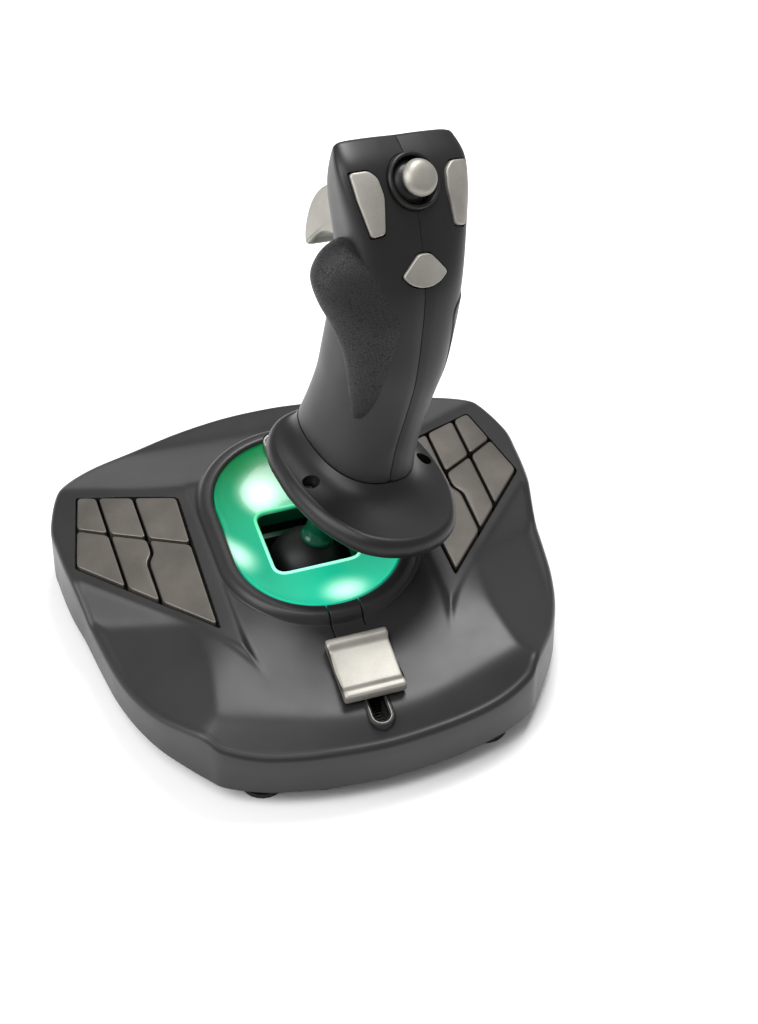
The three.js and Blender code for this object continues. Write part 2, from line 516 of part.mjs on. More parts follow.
const cutAt = (frame, pts, z0, z1) => prism(pts, z0, z1, frame);
const skin = (out, inn) => gripForm(out).subtract(gripForm(inn, 6));
let shells = gripOuter.subtract(gripForm(-2.6).add(box(-11, 11, -18, 16, 70, 82)));
const hatPocket = rod(V(0, 0, -7).applyMatrix4(hatFrame), V(0, 0, 10).applyMatrix4(hatFrame), 11.4, 28);
shells = shells.subtract(hatPocket)
  .subtract(cutAt(lowFrame, offset(lowPlan, 0.45), -8, 10));
for (const s of [1, -1]) shells = shells.subtract(cutAt(paddleFrame(s), offset(paddlePlan(s), 0.45), -7.8, 10));
// Trigger: side profile (y, z).
const TRIGGER = [[14.5, 160], [17, 167], [24, 170], [33, 170.5], [40, 168], [46.5, 161.5], [50, 153.5], [50.5, 145], [49, 138],
  [46.5, 134.5], [44, 136], [41.5, 141], [37.5, 146], [32, 149.5], [25, 151], [19, 153.5]];
const PIN = [21, 164];       // trigger pin (y, z)
const across = (pts, hw) => {
  const shape = new THREE.Shape(pts.map(([y, z]) => new THREE.Vector2(y, z)));
  const g = new THREE.ExtrudeGeometry(shape, { depth: 2 * hw, bevelEnabled: false });
  g.translate(0, 0, -hw);
  // (u, v, w) -> (w, u, v)
  g.applyMatrix4(new THREE.Matrix4().set(0, 0, 1, 0, 1, 0, 0, 0, 0, 1, 0, 0, 0, 0, 0, 1));
  return solid(g);
};
const pinHole = (x) => rod(V(-x, ...PIN), V(x, ...PIN), 1.9, 16);
const trigger = across(TRIGGER, 9).subtract(pinHole(20));
const squeezed = new THREE.Matrix4().makeTranslation(0, ...PIN)
  .multiply(new THREE.Matrix4().makeRotationX(rad(-15))).multiply(at(0, -PIN[0], -PIN[1]));
const sweptSolid = (pts, hw) => {
  const a = across(pts, hw);
  const mid = new THREE.Matrix4().makeTranslation(0, ...PIN)
    .multiply(new THREE.Matrix4().makeRotationX(rad(-7.5))).multiply(at(0, -PIN[0], -PIN[1]));
  return a.add(a.transform([...mid.elements])).add(a.transform([...squeezed.elements]));
};
shells = shells.subtract(sweptSolid(offset(TRIGGER, 0.8), 9.8)).subtract(pinHole(13.4));
// Pads let into the two sides.
// Rows of the thumb rest: height, middle and half length along y, outermost x.
const THUMB = [[106, -22, 3, -19], [112, -20.5, 6, -20.5], [121, -18.5, 9, -22.5], [131, -15.5, 11.5, -25.5],
  [141, -10, 15.5, -30.5], [148, -6.5, 17.5, -35], [155, -3.5, 17, -38], [160, -2, 15.5, -37.5], [165, -1, 13, -35],
  [168.5, 0, 9, -30], [171, 1, 4, -25]];
const thumbBulge = loft(THUMB.map(([z, cy, half, out]) => {
  const ring = [];
  for (let k = 0; k < 24; k++) {
    const t = 2 * Math.PI * k / 24, c = Math.cos(t);
    ring.push(V(-12 + (out + 12) * Math.max(-0.3, Math.sign(c) * Math.abs(c) ** 0.9), cy + half * Math.sin(t), z));
  }
  return ring;
}));
shells = shells.subtract(cutAt(coverFrame, offset(coverPlan, 0.35), -20, 20).intersect(gripForm(1).subtract(gripForm(-1.3))));
const leftHalf = box(-80, -0.15, -80, 90, 60, 220), rightHalf = box(0.15, 80, -80, 90, 60, 220);
add(grip, 'handle_shell_left', shells.intersect(leftHalf), charcoal());
add(grip, 'handle_shell_right', shells.intersect(rightHalf), charcoal());
add(grip, 'thumb_rest_left', thumbBulge.subtract(gripForm(0.3)).intersect(box(-80, -11.8, -80, 90, 60, 220)), rubber());
add(grip, 'side_cover_right', cutAt(coverFrame, coverPlan, -20, 20).intersect(skin(0.5, -0.95)).intersect(box(2, 80, -80, 90, 60, 220)), charcoal());
add(grip, 'trigger', trigger, silver());
add(grip, 'trigger_pin', rod(V(-13, ...PIN), V(13, ...PIN), 1.5, 14), steel());
add(grip, 'head_button_lower', cutAt(lowFrame, lowPlan, -5, 10).intersect(skin(1.1, -4)), silver());
for (const s of [1, -1]) {
  add(grip, `head_button_${s > 0 ? 'right' : 'left'}`, cutAt(paddleFrame(s), paddlePlan(s), -6, 10).intersect(skin(1.2, -2.2)), silver());
}
// Hat: bezel ring, cradle and mushroom cap, turned about the face's normal.
const lathe = (pts, seg = 28) => {
  const g = new THREE.LatheGeometry(pts.map(([r, z]) => new THREE.Vector2(r, z)), seg);
  g.rotateX(Math.PI / 2);
  return g;
};
add(grip, 'hat_bezel', solid(lathe([[9.4, -2.6], [11, -2.6], [11, 0.6], [10.5, 1.3], [9.8, 1.3], [9.4, 0.6], [9.4, -2.6]]), hatFrame), charcoal());
add(grip, 'hat_cap', solid(lathe([[0, 1.2], [3.2, 1.2], [4.4, 2.2], [6.2, 3], [7.1, 4.3], [7.1, 5.6], [6.2, 7.1], [4.2, 8], [2, 8.3], [0, 8.35]]), hatFrame), silver());
add(grip, 'hat_cradle', solid(lathe([[0, -6], [2.2, -6], [2.2, -3.4], [7.6, -3.4], [8.2, -2.2], [7, -0.4], [3.4, 0.8], [0, 0.85]]), hatFrame), charcoal());
add(grip, 'grip_board', box(-1, 1, -12, 12, 100, 138), board());

export default root;
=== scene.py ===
"""Looks of a desktop flight joystick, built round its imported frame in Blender 4.5."""

from __future__ import annotations

import json
import logging
import math
from dataclasses import dataclass, field
from enum import Enum
from typing import Callable, Iterable, Sequence

import bmesh
import bpy
import numpy as np
from mathutils import Matrix, Vector
from mathutils.bvhtree import BVHTree

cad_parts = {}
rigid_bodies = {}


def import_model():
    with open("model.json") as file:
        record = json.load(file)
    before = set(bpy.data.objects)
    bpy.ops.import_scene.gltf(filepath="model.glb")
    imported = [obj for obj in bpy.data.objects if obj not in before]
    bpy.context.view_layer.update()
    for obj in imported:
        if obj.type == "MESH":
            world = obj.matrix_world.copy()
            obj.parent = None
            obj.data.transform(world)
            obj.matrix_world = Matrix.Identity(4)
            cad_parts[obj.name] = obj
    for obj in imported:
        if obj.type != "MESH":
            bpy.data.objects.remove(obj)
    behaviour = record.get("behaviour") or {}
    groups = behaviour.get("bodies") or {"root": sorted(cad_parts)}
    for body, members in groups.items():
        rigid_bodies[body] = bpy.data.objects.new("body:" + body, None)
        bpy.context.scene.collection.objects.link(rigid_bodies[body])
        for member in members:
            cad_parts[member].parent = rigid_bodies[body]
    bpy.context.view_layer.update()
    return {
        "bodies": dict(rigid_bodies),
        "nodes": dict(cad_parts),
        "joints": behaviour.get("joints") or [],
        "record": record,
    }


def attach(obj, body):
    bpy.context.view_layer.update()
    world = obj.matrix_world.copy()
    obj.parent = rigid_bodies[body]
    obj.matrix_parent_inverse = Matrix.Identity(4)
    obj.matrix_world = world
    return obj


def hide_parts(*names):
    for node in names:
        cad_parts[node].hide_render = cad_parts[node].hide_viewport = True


LOG = logging.getLogger("joystick")
MM = 0.001
Plan = list[tuple[float, float]]
Ring = np.ndarray


class Side(Enum):
    """Which half of a mirrored pair a piece belongs to."""

    LEFT = -1
    RIGHT = 1


# ------------------------------------------------------------------ geometry
def catmull(points: Sequence[Sequence[float]], count: int, closed: bool = False) -> np.ndarray:
    """Samples a smooth curve through points.

    Args:
        points: the points, each of any dimension.
        count: how many samples to take, evenly in parameter.
        closed: whether the curve returns to its first point.

    Returns:
        An array of count rows.
    """
    p = np.asarray(points, float)
    n = len(p)
    if closed:
        seg, p = n, np.vstack([p[-1], p, p[0], p[1]])
        u = np.arange(count) * seg / count
    else:
        seg, p = n - 1, np.vstack([2 * p[0] - p[1], p, 2 * p[-1] - p[-2]])
        u = np.linspace(0, seg, count)
    i = np.minimum(u.astype(int), seg - 1)
    t = (u - i)[:, None]
    a, b, c, d = p[i], p[i + 1], p[i + 2], p[i + 3]
    return 0.5 * (2 * b + (c - a) * t + (2 * a - 5 * b + 4 * c - d) * t**2 + (3 * b - a - 3 * c + d) * t**3)


def mirrored(points: Iterable[tuple[float, float]]) -> Plan:
    """The plan reflected in x, with its direction kept."""
    return [(-x, y) for x, y in points][::-1]


def whole(half: Sequence[tuple[float, float]]) -> Plan:
    """Closes a half outline with its mirror image."""
    return [*half, *[p for p in mirrored(half) if abs(p[0]) > 1e-6]]


def offset(points: Sequence[Sequence[float]], d: float) -> Plan:
    """Moves every edge of a closed plan sideways.

    Args:
        points: the closed plan.
        d: the distance in mm, inwards when negative.

    Returns:
        The moved plan, with the same number of points.
    """
    p = np.asarray(points, float)
    q = np.roll(p, -1, 0)
    turn = np.sign((p[:, 0] * q[:, 1] - q[:, 0] * p[:, 1]).sum())
    u = p - np.roll(p, 1, 0)
    v = q - p
    u /= np.linalg.norm(u, axis=1)[:, None] + 1e-12
    v /= np.linalg.norm(v, axis=1)[:, None] + 1e-12
    a = np.stack([u[:, 1], -u[:, 0]], 1) * turn
    b = np.stack([v[:, 1], -v[:, 0]], 1) * turn
    m = a + b
    m /= np.linalg.norm(m, axis=1)[:, None] + 1e-12
    k = d / np.maximum(0.35, (m * a).sum(1))
    return [tuple(r) for r in p + m * k[:, None]]


def rounded(points: Sequence[tuple[float, float]], radius: float, steps: int = 5) -> Plan:
    """Rounds the corners of a plan.

    Args:
        points: the closed plan.
        radius: how far from each corner the rounding starts, in mm.
        steps: points for each corner.

    Returns:
        The plan with curved corners.
    """
    out: Plan = []
    n = len(points)
    for i, p in enumerate(points):
        p = np.array(p, float)
        a = np.array(points[i - 1], float) - p
        b = np.array(points[(i + 1) % n], float) - p
        ra = min(radius, np.linalg.norm(a) * 0.45)
        rb = min(radius, np.linalg.norm(b) * 0.45)
        s, e = p + a / np.linalg.norm(a) * ra, p + b / np.linalg.norm(b) * rb
        for t in np.linspace(0, 1, steps):
            out.append(tuple((1 - t) ** 2 * s + 2 * t * (1 - t) * p + t**2 * e))
    return out


def dense(points: Sequence[tuple[float, float]], step: float) -> Plan:
    """Adds points along the edges of a plan so that none is longer than step."""
    out: Plan = []
    for i, a in enumerate(points):
        b = points[(i + 1) % len(points)]
        k = max(1, math.ceil(math.dist(a, b) / step))
        out += [(a[0] + (b[0] - a[0]) * j / k, a[1] + (b[1] - a[1]) * j / k) for j in range(k)]
    return out


def circle(radius: float, count: int, centre: tuple[float, float] = (0.0, 0.0)) -> Plan:
    """A circle's plan."""
    return [(centre[0] + radius * math.cos(t), centre[1] + radius * math.sin(t))
            for t in np.linspace(0, 2 * math.pi, count, endpoint=False)]


def stadium(radius: float, half: float, count: int = 96) -> Plan:
    """A stadium that runs along y, as a plan."""
    k = count // 2
    up = [(radius * math.cos(t), half + radius * math.sin(t)) for t in np.linspace(0, math.pi, k)]
    down = [(radius * math.cos(t), -half + radius * math.sin(t))
            for t in np.linspace(math.pi, 2 * math.pi, k)]
    return up + down


def polar(points: Sequence[Sequence[float]], centre: tuple[float, float], count: int) -> np.ndarray:
    """Samples a plan at even angles about a centre, so that rings match.

    Args:
        points: the closed plan.
        centre: the centre of the angles.
        count: how many points.

    Returns:
        An array of count x, y rows.
    """
    p = np.asarray(points, float) - centre
    q = np.roll(p, -1, 0) - p
    t = 2 * np.pi * np.arange(count) / count + 1e-4
    d = np.stack([np.cos(t), np.sin(t)], 1)
    det = -d[:, None, 0] * q[None, :, 1] + d[:, None, 1] * q[None, :, 0]
    det = np.where(abs(det) < 1e-12, 1e-12, det)
    r = (-p[None, :, 0] * q[None, :, 1] + p[None, :, 1] * q[None, :, 0]) / det
    s = (d[:, None, 0] * p[None, :, 1] - d[:, None, 1] * p[None, :, 0]) / det
    good = (s >= -1e-9) & (s <= 1 + 1e-9) & (r > 0)
    best = np.where(good, r, 0).max(1)
    return np.asarray(centre) + d * best[:, None]


def level(plan: Sequence[Sequence[float]], z: float | np.ndarray) -> Ring:
    """A ring of points over a plan, at one height or at one height each."""
    p = np.asarray(plan, float)
    return np.column_stack([p, np.broadcast_to(z, len(p))])


def smooth_min(*heights: np.ndarray, soft: float = 1.0) -> np.ndarray:
    """The lowest of several heights, with the creases rounded over about soft mm."""
    low = np.minimum.reduce(heights)
    return low - soft * np.log(sum(np.exp(-(h - low) / soft) for h in heights))


def smooth_max(*heights: np.ndarray, soft: float = 1.0) -> np.ndarray:
    """The highest of several heights, with the creases rounded over about soft mm."""
    return -smooth_min(*[-h for h in heights], soft=soft)


def plane_height(a: Sequence[float], b: Sequence[float], c: Sequence[float]) -> Callable:
    """The height of the plane through three points, as a function of x and y."""
    n = np.cross(np.subtract(b, a), np.subtract(c, a))
    return lambda x, y: a[2] - (n[0] * (x - a[0]) + n[1] * (y - a[1])) / n[2]


@dataclass
class Solid:
    """A mesh being put together, in mm in some frame."""

    verts: list = field(default_factory=list)
    faces: list = field(default_factory=list)

    def loft(self, rings: Sequence[Ring], loop: bool = False,
             caps: tuple[bool, bool] = (True, True)) -> "Solid":
        """Adds a body through rings.

        Args:
            rings: rings with the same number of points each.
            loop: whether the last ring joins the first.
            caps: whether to close the first and the last ring.

        Returns:
            This solid.
        """
        n, base = len(rings[0]), len(self.verts)
        for r in rings:
            self.verts += [tuple(p) for p in np.asarray(r, float)]
        count = len(rings)
        for i in range(count if loop else count - 1):
            j = (i + 1) % count
            for k in range(n):
                m = (k + 1) % n
                self.faces.append((base + i * n + k, base + i * n + m, base + j * n + m, base + j * n + k))
        if not loop:
            for wanted, i, flip in ((caps[0], 0, True), (caps[1], count - 1, False)):
                if wanted:
                    c = len(self.verts)
                    self.verts.append(tuple(np.mean(rings[i], axis=0)))
                    for k in range(n):
                        a, b = base + i * n + k, base + i * n + (k + 1) % n
                        self.faces.append((c, b, a) if flip else (c, a, b))
        return self

    def prism(self, plan: Plan, z0: float, z1: float, frame: Matrix | None = None) -> "Solid":
        """Adds an upright prism over a plan, placed by a frame."""
        rings = [level(plan, z0), level(plan, z1)]
        if frame is not None:
            rings = [place(r, frame) for r in rings]
        base, n = len(self.verts), len(plan)
        for r in rings:
            self.verts += [tuple(p) for p in r]
        for k in range(n):
            m = (k + 1) % n
            self.faces.append((base + k, base + m, base + n + m, base + n + k))
        self.faces.append(tuple(base + k for k in range(n))[::-1])
        self.faces.append(tuple(base + n + k for k in range(n)))
        return self

    def piece(self, name: str, frame: Matrix, smooth: float = 40.0) -> bpy.types.Object:
        """Makes the Blender object.

        Args:
            name: the object's name.
            frame: from the solid's own frame in mm to the row frame in mm.
            smooth: the sharpest angle that is shaded smooth, in degrees.

        Returns:
            The object, in metres.
        """
        mesh = bpy.data.meshes.new(name)
        pts = place(np.array(self.verts, float), frame) * MM
        mesh.from_pydata(pts.tolist(), [], self.faces)
        bm = bmesh.new()
        bm.from_mesh(mesh)
        bmesh.ops.remove_doubles(bm, verts=bm.verts, dist=1e-7)
        bmesh.ops.recalc_face_normals(bm, faces=bm.faces)
        bm.to_mesh(mesh)
        bm.free()
        obj = bpy.data.objects.new(name, mesh)
        bpy.context.scene.collection.objects.link(obj)
        shade(obj, smooth)
        return obj


def place(points: np.ndarray, frame: Matrix) -> np.ndarray:
    """Moves points by a 4 by 4 frame."""
    m = np.array(frame)
    return np.asarray(points, float) @ m[:3, :3].T + m[:3, 3]


def shade(obj: bpy.types.Object, angle: float) -> None:
    """Shades an object smooth and marks the edges sharper than angle."""
    bm = bmesh.new()
    bm.from_mesh(obj.data)
    limit = math.radians(angle)
    for f in bm.faces:
        f.smooth = True
    for e in bm.edges:
        e.smooth = len(e.link_faces) != 2 or e.calc_face_angle(0) < limit
    bm.to_mesh(obj.data)
    bm.free()


def cut(obj: bpy.types.Object, cutters: Solid, frame: Matrix, angle: float = 40.0) -> None:
    """Cuts a solid out of an object and keeps the result in its mesh.

    Args:
        obj: the closed object to cut.
        cutters: what to take away.
        frame: the cutters' frame.
        angle: the shading angle to use afterwards.
    """
    tool = cutters.piece("cutter", frame)
    mod = obj.modifiers.new("cut", "BOOLEAN")
    mod.operation, mod.object, mod.solver = "DIFFERENCE", tool, "EXACT"
    graph = bpy.context.evaluated_depsgraph_get()
    mesh = bpy.data.meshes.new_from_object(obj.evaluated_get(graph))
    obj.modifiers.remove(mod)
    old, obj.data = obj.data, mesh
    bpy.data.meshes.remove(old)
    bpy.data.objects.remove(tool)
    shade(obj, angle)


def rounded_rings(plan: Plan, low: float, high: float, edge: float, dish: float = 0.0) -> list[Ring]:
    """Rings of a key: an upright wall, a rounded edge and a top that dishes or crowns.

    Args:
        plan: the key's closed plan.
        low: the foot of the wall.
        high: the height of the top.
        edge: the radius of the rounded edge.
        dish: how far the middle stands above the top's rim, negative for a dish.

    Returns:
        The rings from the foot to the middle.
    """
    rings = [level(plan, low), level(plan, high - edge)]
    for t in np.linspace(0.2, 1, 5) * math.pi / 2:
        rings.append(level(offset(plan, -edge * (1 - math.cos(t))), high - edge * (1 - math.sin(t))))
    rim = np.array(offset(plan, -edge))
    mid = rim.mean(0)
    for s in (0.93, 0.82, 0.66, 0.48, 0.3, 0.14):
        rings.append(level(mid + (rim - mid) * s, high + dish * (1 - s**2)))
    return rings


# ----------------------------------------------------------------- materials
def linear(code: str) -> tuple[float, float, float, float]:
    """Turns an sRGB hex colour into linear RGBA."""
    parts = [int(code.lstrip("#")[i:i + 2], 16) / 255 for i in (0, 2, 4)]
    r, g, b = [c / 12.92 if c <= 0.04045 else ((c + 0.055) / 1.055) ** 2.4 for c in parts]
    return r, g, b, 1.0


def add_node(tree: bpy.types.NodeTree, kind: str, values: dict | None = None, links: dict | None = None,
             **settings: object) -> bpy.types.Node:
    """Adds a shader node.

    Args:
        tree: the material's tree.
        kind: the node's type.
        values: input socket to constant value.
        links: input socket to the output socket that feeds it.
        settings: the node's own properties.

    Returns:
        The node.
    """
    node = tree.nodes.new(kind)
    for key, value in settings.items():
        setattr(node, key, value)
    for key, value in (values or {}).items():
        node.inputs[key].default_value = value
    for key, socket in (links or {}).items():
        tree.links.new(socket, node.inputs[key])
    return node


def start(name: str) -> tuple[bpy.types.Material, bpy.types.NodeTree, bpy.types.NodeSocket]:
    """An empty material, its tree and the object's own coordinates, in metres."""
    mat = bpy.data.materials.new(name)
    mat.use_nodes = True
    mat.node_tree.nodes.clear()
    coords = add_node(mat.node_tree, "ShaderNodeTexCoord")
    return mat, mat.node_tree, coords.outputs["Object"]


def finish_surface(tree: bpy.types.NodeTree, values: dict, links: dict) -> None:
    """Adds the principled shader and the output."""
    shader = add_node(tree, "ShaderNodeBsdfPrincipled", values, links)
    add_node(tree, "ShaderNodeOutputMaterial", links={"Surface": shader.outputs[0]})


@dataclass(frozen=True)
class MouldedPlastic:
    """ABS moulded against a spark-eroded die: matt, with a fine even pebble that breaks up highlights."""

    name: str
    colour: str
    light: str
    roughness: float = 0.5
    grain_mm: float = 0.45
    grain_depth_mm: float = 0.02
    edge_mm: float = 0.0
    sheen: float = 0.0

    def build(self) -> bpy.types.Material:
        """Makes the material."""
        mat, tree, at = start(self.name)
        # Flow marks of the melt: broad, faint drifts of tone.
        drift = add_node(tree, "ShaderNodeTexNoise", {"Scale": 1 / 0.045, "Detail": 3.0}, {"Vector": at})
        tone = add_node(tree, "ShaderNodeValToRGB", links={"Fac": drift.outputs[0]})
        tone.color_ramp.elements[0].position, tone.color_ramp.elements[1].position = 0.3, 0.75
        tone.color_ramp.elements[0].color = linear(self.colour)
        tone.color_ramp.elements[1].color = linear(self.light)
        grain = add_node(tree, "ShaderNodeTexVoronoi", {"Scale": 1000 / self.grain_mm}, {"Vector": at},
                         feature="SMOOTH_F1")
        fine = add_node(tree, "ShaderNodeTexNoise", {"Scale": 2200 / self.grain_mm, "Detail": 2.0},
                        {"Vector": at})
        both = add_node(tree, "ShaderNodeMath", {1: 0.35}, {0: fine.outputs[0], 2: grain.outputs[0]},
                        operation="MULTIPLY_ADD")
        bump = add_node(tree, "ShaderNodeBump", {"Strength": 0.6, "Distance": self.grain_depth_mm * MM},
                        {"Height": both.outputs[0]})
        if self.edge_mm:
            edge = add_node(tree, "ShaderNodeBevel", {"Radius": self.edge_mm * MM}, samples=4)
            tree.links.new(edge.outputs[0], bump.inputs["Normal"])
        # Rubbed and dusty places differ a little in gloss.
        rub = add_node(tree, "ShaderNodeTexNoise", {"Scale": 1 / 0.012, "Detail": 4.0}, {"Vector": at})
        gloss = add_node(tree, "ShaderNodeMapRange", {"To Min": self.roughness - 0.05,
                                                      "To Max": self.roughness + 0.05},
                                                      {"Value": rub.outputs[0]})
        finish_surface(tree, {"IOR": 1.46, "Specular IOR Level": 0.4, "Sheen Weight": self.sheen,
                              "Sheen Roughness": 0.4},
                       {"Base Color": tone.outputs[0], "Roughness": gloss.outputs[0],
                        "Normal": bump.outputs[0]})
        return mat


@dataclass(frozen=True)
class MetallicPaint:
    """Metallic lacquer sprayed on moulded keys: satin, with flakes just too small to part."""

    name: str
    colour: str
    light: str
    metallic: float = 0.75
    roughness: float = 0.5
    flake_mm: float = 0.16

    def build(self) -> bpy.types.Material:
        """Makes the material."""
        mat, tree, at = start(self.name)
        flake = add_node(tree, "ShaderNodeTexVoronoi", {"Scale": 1000 / self.flake_mm}, {"Vector": at})
        cloud = add_node(tree, "ShaderNodeTexNoise", {"Scale": 1 / 0.02, "Detail": 3.0}, {"Vector": at})
        mixed = add_node(tree, "ShaderNodeMath", {1: 0.3}, {0: flake.outputs["Color"], 2: cloud.outputs[0]},
                         operation="MULTIPLY_ADD")
        tone = add_node(tree, "ShaderNodeValToRGB", links={"Fac": mixed.outputs[0]})
        tone.color_ramp.elements[0].position, tone.color_ramp.elements[1].position = 0.35, 0.95
        tone.color_ramp.elements[0].color = linear(self.colour)
        tone.color_ramp.elements[1].color = linear(self.light)
        gloss = add_node(tree, "ShaderNodeMapRange", {"To Min": self.roughness - 0.04,
                                                      "To Max": self.roughness + 0.06},
                                                      {"Value": cloud.outputs[0]})
        bump = add_node(tree, "ShaderNodeBump", {"Strength": 0.25, "Distance": 0.006 * MM},
                        {"Height": flake.outputs["Distance"]})
        finish_surface(tree, {"Metallic": self.metallic},
                       {"Base Color": tone.outputs[0], "Roughness": gloss.outputs[0],
                        "Normal": bump.outputs[0]})
        return mat


@dataclass(frozen=True)
class GrainedRubber:
    """Thermoplastic rubber moulded with a leather grain: flat cells with creases between, dull and soft.
    The creases are painted darker as painted shade.
    """

    name: str
    colour: str
    light: str
    cell_mm: float = 1.1
    depth_mm: float = 0.09
    roughness: float = 0.5

    def build(self) -> bpy.types.Material:
        """Makes the material."""
        mat, tree, at = start(self.name)
        warp = add_node(tree, "ShaderNodeTexNoise", {"Scale": 700 / self.cell_mm, "Detail": 2.0},
                        {"Vector": at})
        moved = add_node(tree, "ShaderNodeVectorMath", {1: (0.0004,) * 3},
                         {0: warp.outputs["Color"], 2: at},
                         operation="MULTIPLY_ADD")
        cells = add_node(tree, "ShaderNodeTexVoronoi", {"Scale": 1000 / self.cell_mm},
                         {"Vector": moved.outputs[0]}, feature="DISTANCE_TO_EDGE")
        top = add_node(tree, "ShaderNodeMapRange", {"From Max": 0.16}, {"Value": cells.outputs["Distance"]},
                       interpolation_type="SMOOTHSTEP")
        # Painted shade: the creases between the cells are darker than the cell tops.
        tone = add_node(tree, "ShaderNodeMix", {"A": linear(self.colour), "B": linear(self.light)},
                        data_type="RGBA")
        tree.links.new(top.outputs[0], tone.inputs["Factor"])
        bump = add_node(tree, "ShaderNodeBump", {"Strength": 0.55, "Distance": self.depth_mm * MM},
                        {"Height": top.outputs[0]})
        gloss = add_node(tree, "ShaderNodeMapRange",
                         {"To Min": self.roughness + 0.2, "To Max": self.roughness},
                         {"Value": top.outputs[0]})
        finish_surface(tree, {"IOR": 1.46, "Specular IOR Level": 0.35, "Sheen Weight": 0.03},
                       {"Base Color": tone.outputs[2], "Roughness": gloss.outputs[0],
                        "Normal": bump.outputs[0]})
        return mat


@dataclass(frozen=True)
class AcrylicGlowAndPaintedLight:
    """Green acrylic with polished moulded faces that glows from below. The near side is painted lighter and
    more cyan than the far side as painted light; round each spot the glow is stronger for the lamps below
    and turns near-white as a painted highlight. The same glow serves as painted light on the well's edge
    bead and walls.
    """

    name: str
    far: str
    near: str
    glow: float
    spot_centres: tuple[tuple[float, float, float], ...]
    spot_mm: float = 15.0
    spot_power: float = 0.6
    axis: tuple[float, float] = (0.0, 0.0)

    def build(self) -> bpy.types.Material:
        """Makes the material."""
        mat, tree, at = start(self.name)
        apart = add_node(tree, "ShaderNodeSeparateXYZ", links={"Vector": at})
        along = add_node(tree, "ShaderNodeMapRange",
                         {"From Min": self.axis[0] * MM, "From Max": self.axis[1] * MM},
                         {"Value": apart.outputs["Y"]})
        # Painted light: the near side is painted lighter and more cyan than the far side.
        painted_near_light_far_shade = add_node(tree, "ShaderNodeMix", {"A": linear(self.near), "B": linear(self.far)},
                            data_type="RGBA")
        tree.links.new(along.outputs[0], painted_near_light_far_shade.inputs["Factor"])
        glow_and_highlight_spots = None
        # Round each spot the glow is stronger for the lamps below, and the colour turns near-white as a
        # painted highlight.
        for spot_centre in self.spot_centres:
            gap = add_node(tree, "ShaderNodeVectorMath", {1: tuple(c * MM for c in spot_centre)}, {0: at},
                           operation="DISTANCE")
            spot = add_node(tree, "ShaderNodeMapRange", {"From Min": 0.0, "From Max": self.spot_mm * MM,
                                                         "To Min": 1.0, "To Max": 0.0},
                            {"Value": gap.outputs["Value"]}, interpolation_type="SMOOTHERSTEP")
            if glow_and_highlight_spots is None:
                glow_and_highlight_spots = spot.outputs[0]
            else:
                glow_and_highlight_spots = add_node(tree, "ShaderNodeMath", links={0: glow_and_highlight_spots, 1: spot.outputs[0]},
                                 operation="MAXIMUM").outputs[0]
        # Swirls in the moulding scatter the light unevenly.
        swirl = add_node(tree, "ShaderNodeTexNoise", {"Scale": 1 / 0.02, "Detail": 2.0}, {"Vector": at})
        uneven = add_node(tree, "ShaderNodeMapRange",
                          {"To Min": 0.82 * self.glow, "To Max": 1.18 * self.glow},
                          {"Value": swirl.outputs[0]})
        if glow_and_highlight_spots is None:
            power, colour = uneven.outputs[0], painted_near_light_far_shade.outputs[2]
        else:
            power = add_node(tree, "ShaderNodeMath", {1: self.spot_power}, {0: glow_and_highlight_spots, 2: uneven.outputs[0]},
                             operation="MULTIPLY_ADD").outputs[0]
            # Painted highlight: the spots turn near-white.
            bright = add_node(tree, "ShaderNodeMix", {"B": linear("#dffff0")},
                              {"Factor": glow_and_highlight_spots, "A": painted_near_light_far_shade.outputs[2]}, data_type="RGBA")
            colour = bright.outputs[2]
        bump = add_node(tree, "ShaderNodeBump", {"Strength": 0.1, "Distance": 0.05 * MM},
                        {"Height": swirl.outputs[0]})
        finish_surface(tree, {"Roughness": 0.3, "IOR": 1.49, "Specular IOR Level": 0.35,
                              "Coat Weight": 0.15,
                              "Coat Roughness": 0.08},
                       {"Base Color": painted_near_light_far_shade.outputs[2], "Emission Color": colour,
                        "Emission Strength": power,
                        "Normal": bump.outputs[0]})
        return mat


@dataclass(frozen=True)
class Steel:
    """Turned or ground steel: fine tool marks one way, bright between them."""

    name: str
    colour: str
    mark_mm: float = 0.2
    roughness: float = 0.28

    def build(self) -> bpy.types.Material:
        """Makes the material."""
        mat, tree, at = start(self.name)
        lines = add_node(tree, "ShaderNodeTexWave",
                         {"Scale": 314 / self.mark_mm, "Distortion": 2.0, "Detail": 2.0},
                         {"Vector": at}, bands_direction="Z")
        tone = add_node(tree, "ShaderNodeMix", {"A": linear(self.colour), "B": linear("#d0d0ce")},
                        data_type="RGBA")
        tree.links.new(lines.outputs[1], tone.inputs["Factor"])
        gloss = add_node(tree, "ShaderNodeMapRange", {"To Min": self.roughness - 0.05,
                                                      "To Max": self.roughness + 0.1},
                                                      {"Value": lines.outputs[1]})
        bump = add_node(tree, "ShaderNodeBump", {"Strength": 0.2, "Distance": 0.01 * MM},
                        {"Height": lines.outputs[1]})
        finish_surface(tree, {"Metallic": 1.0},
                       {"Base Color": tone.outputs[2], "Roughness": gloss.outputs[0],
                        "Normal": bump.outputs[0]})
        return mat


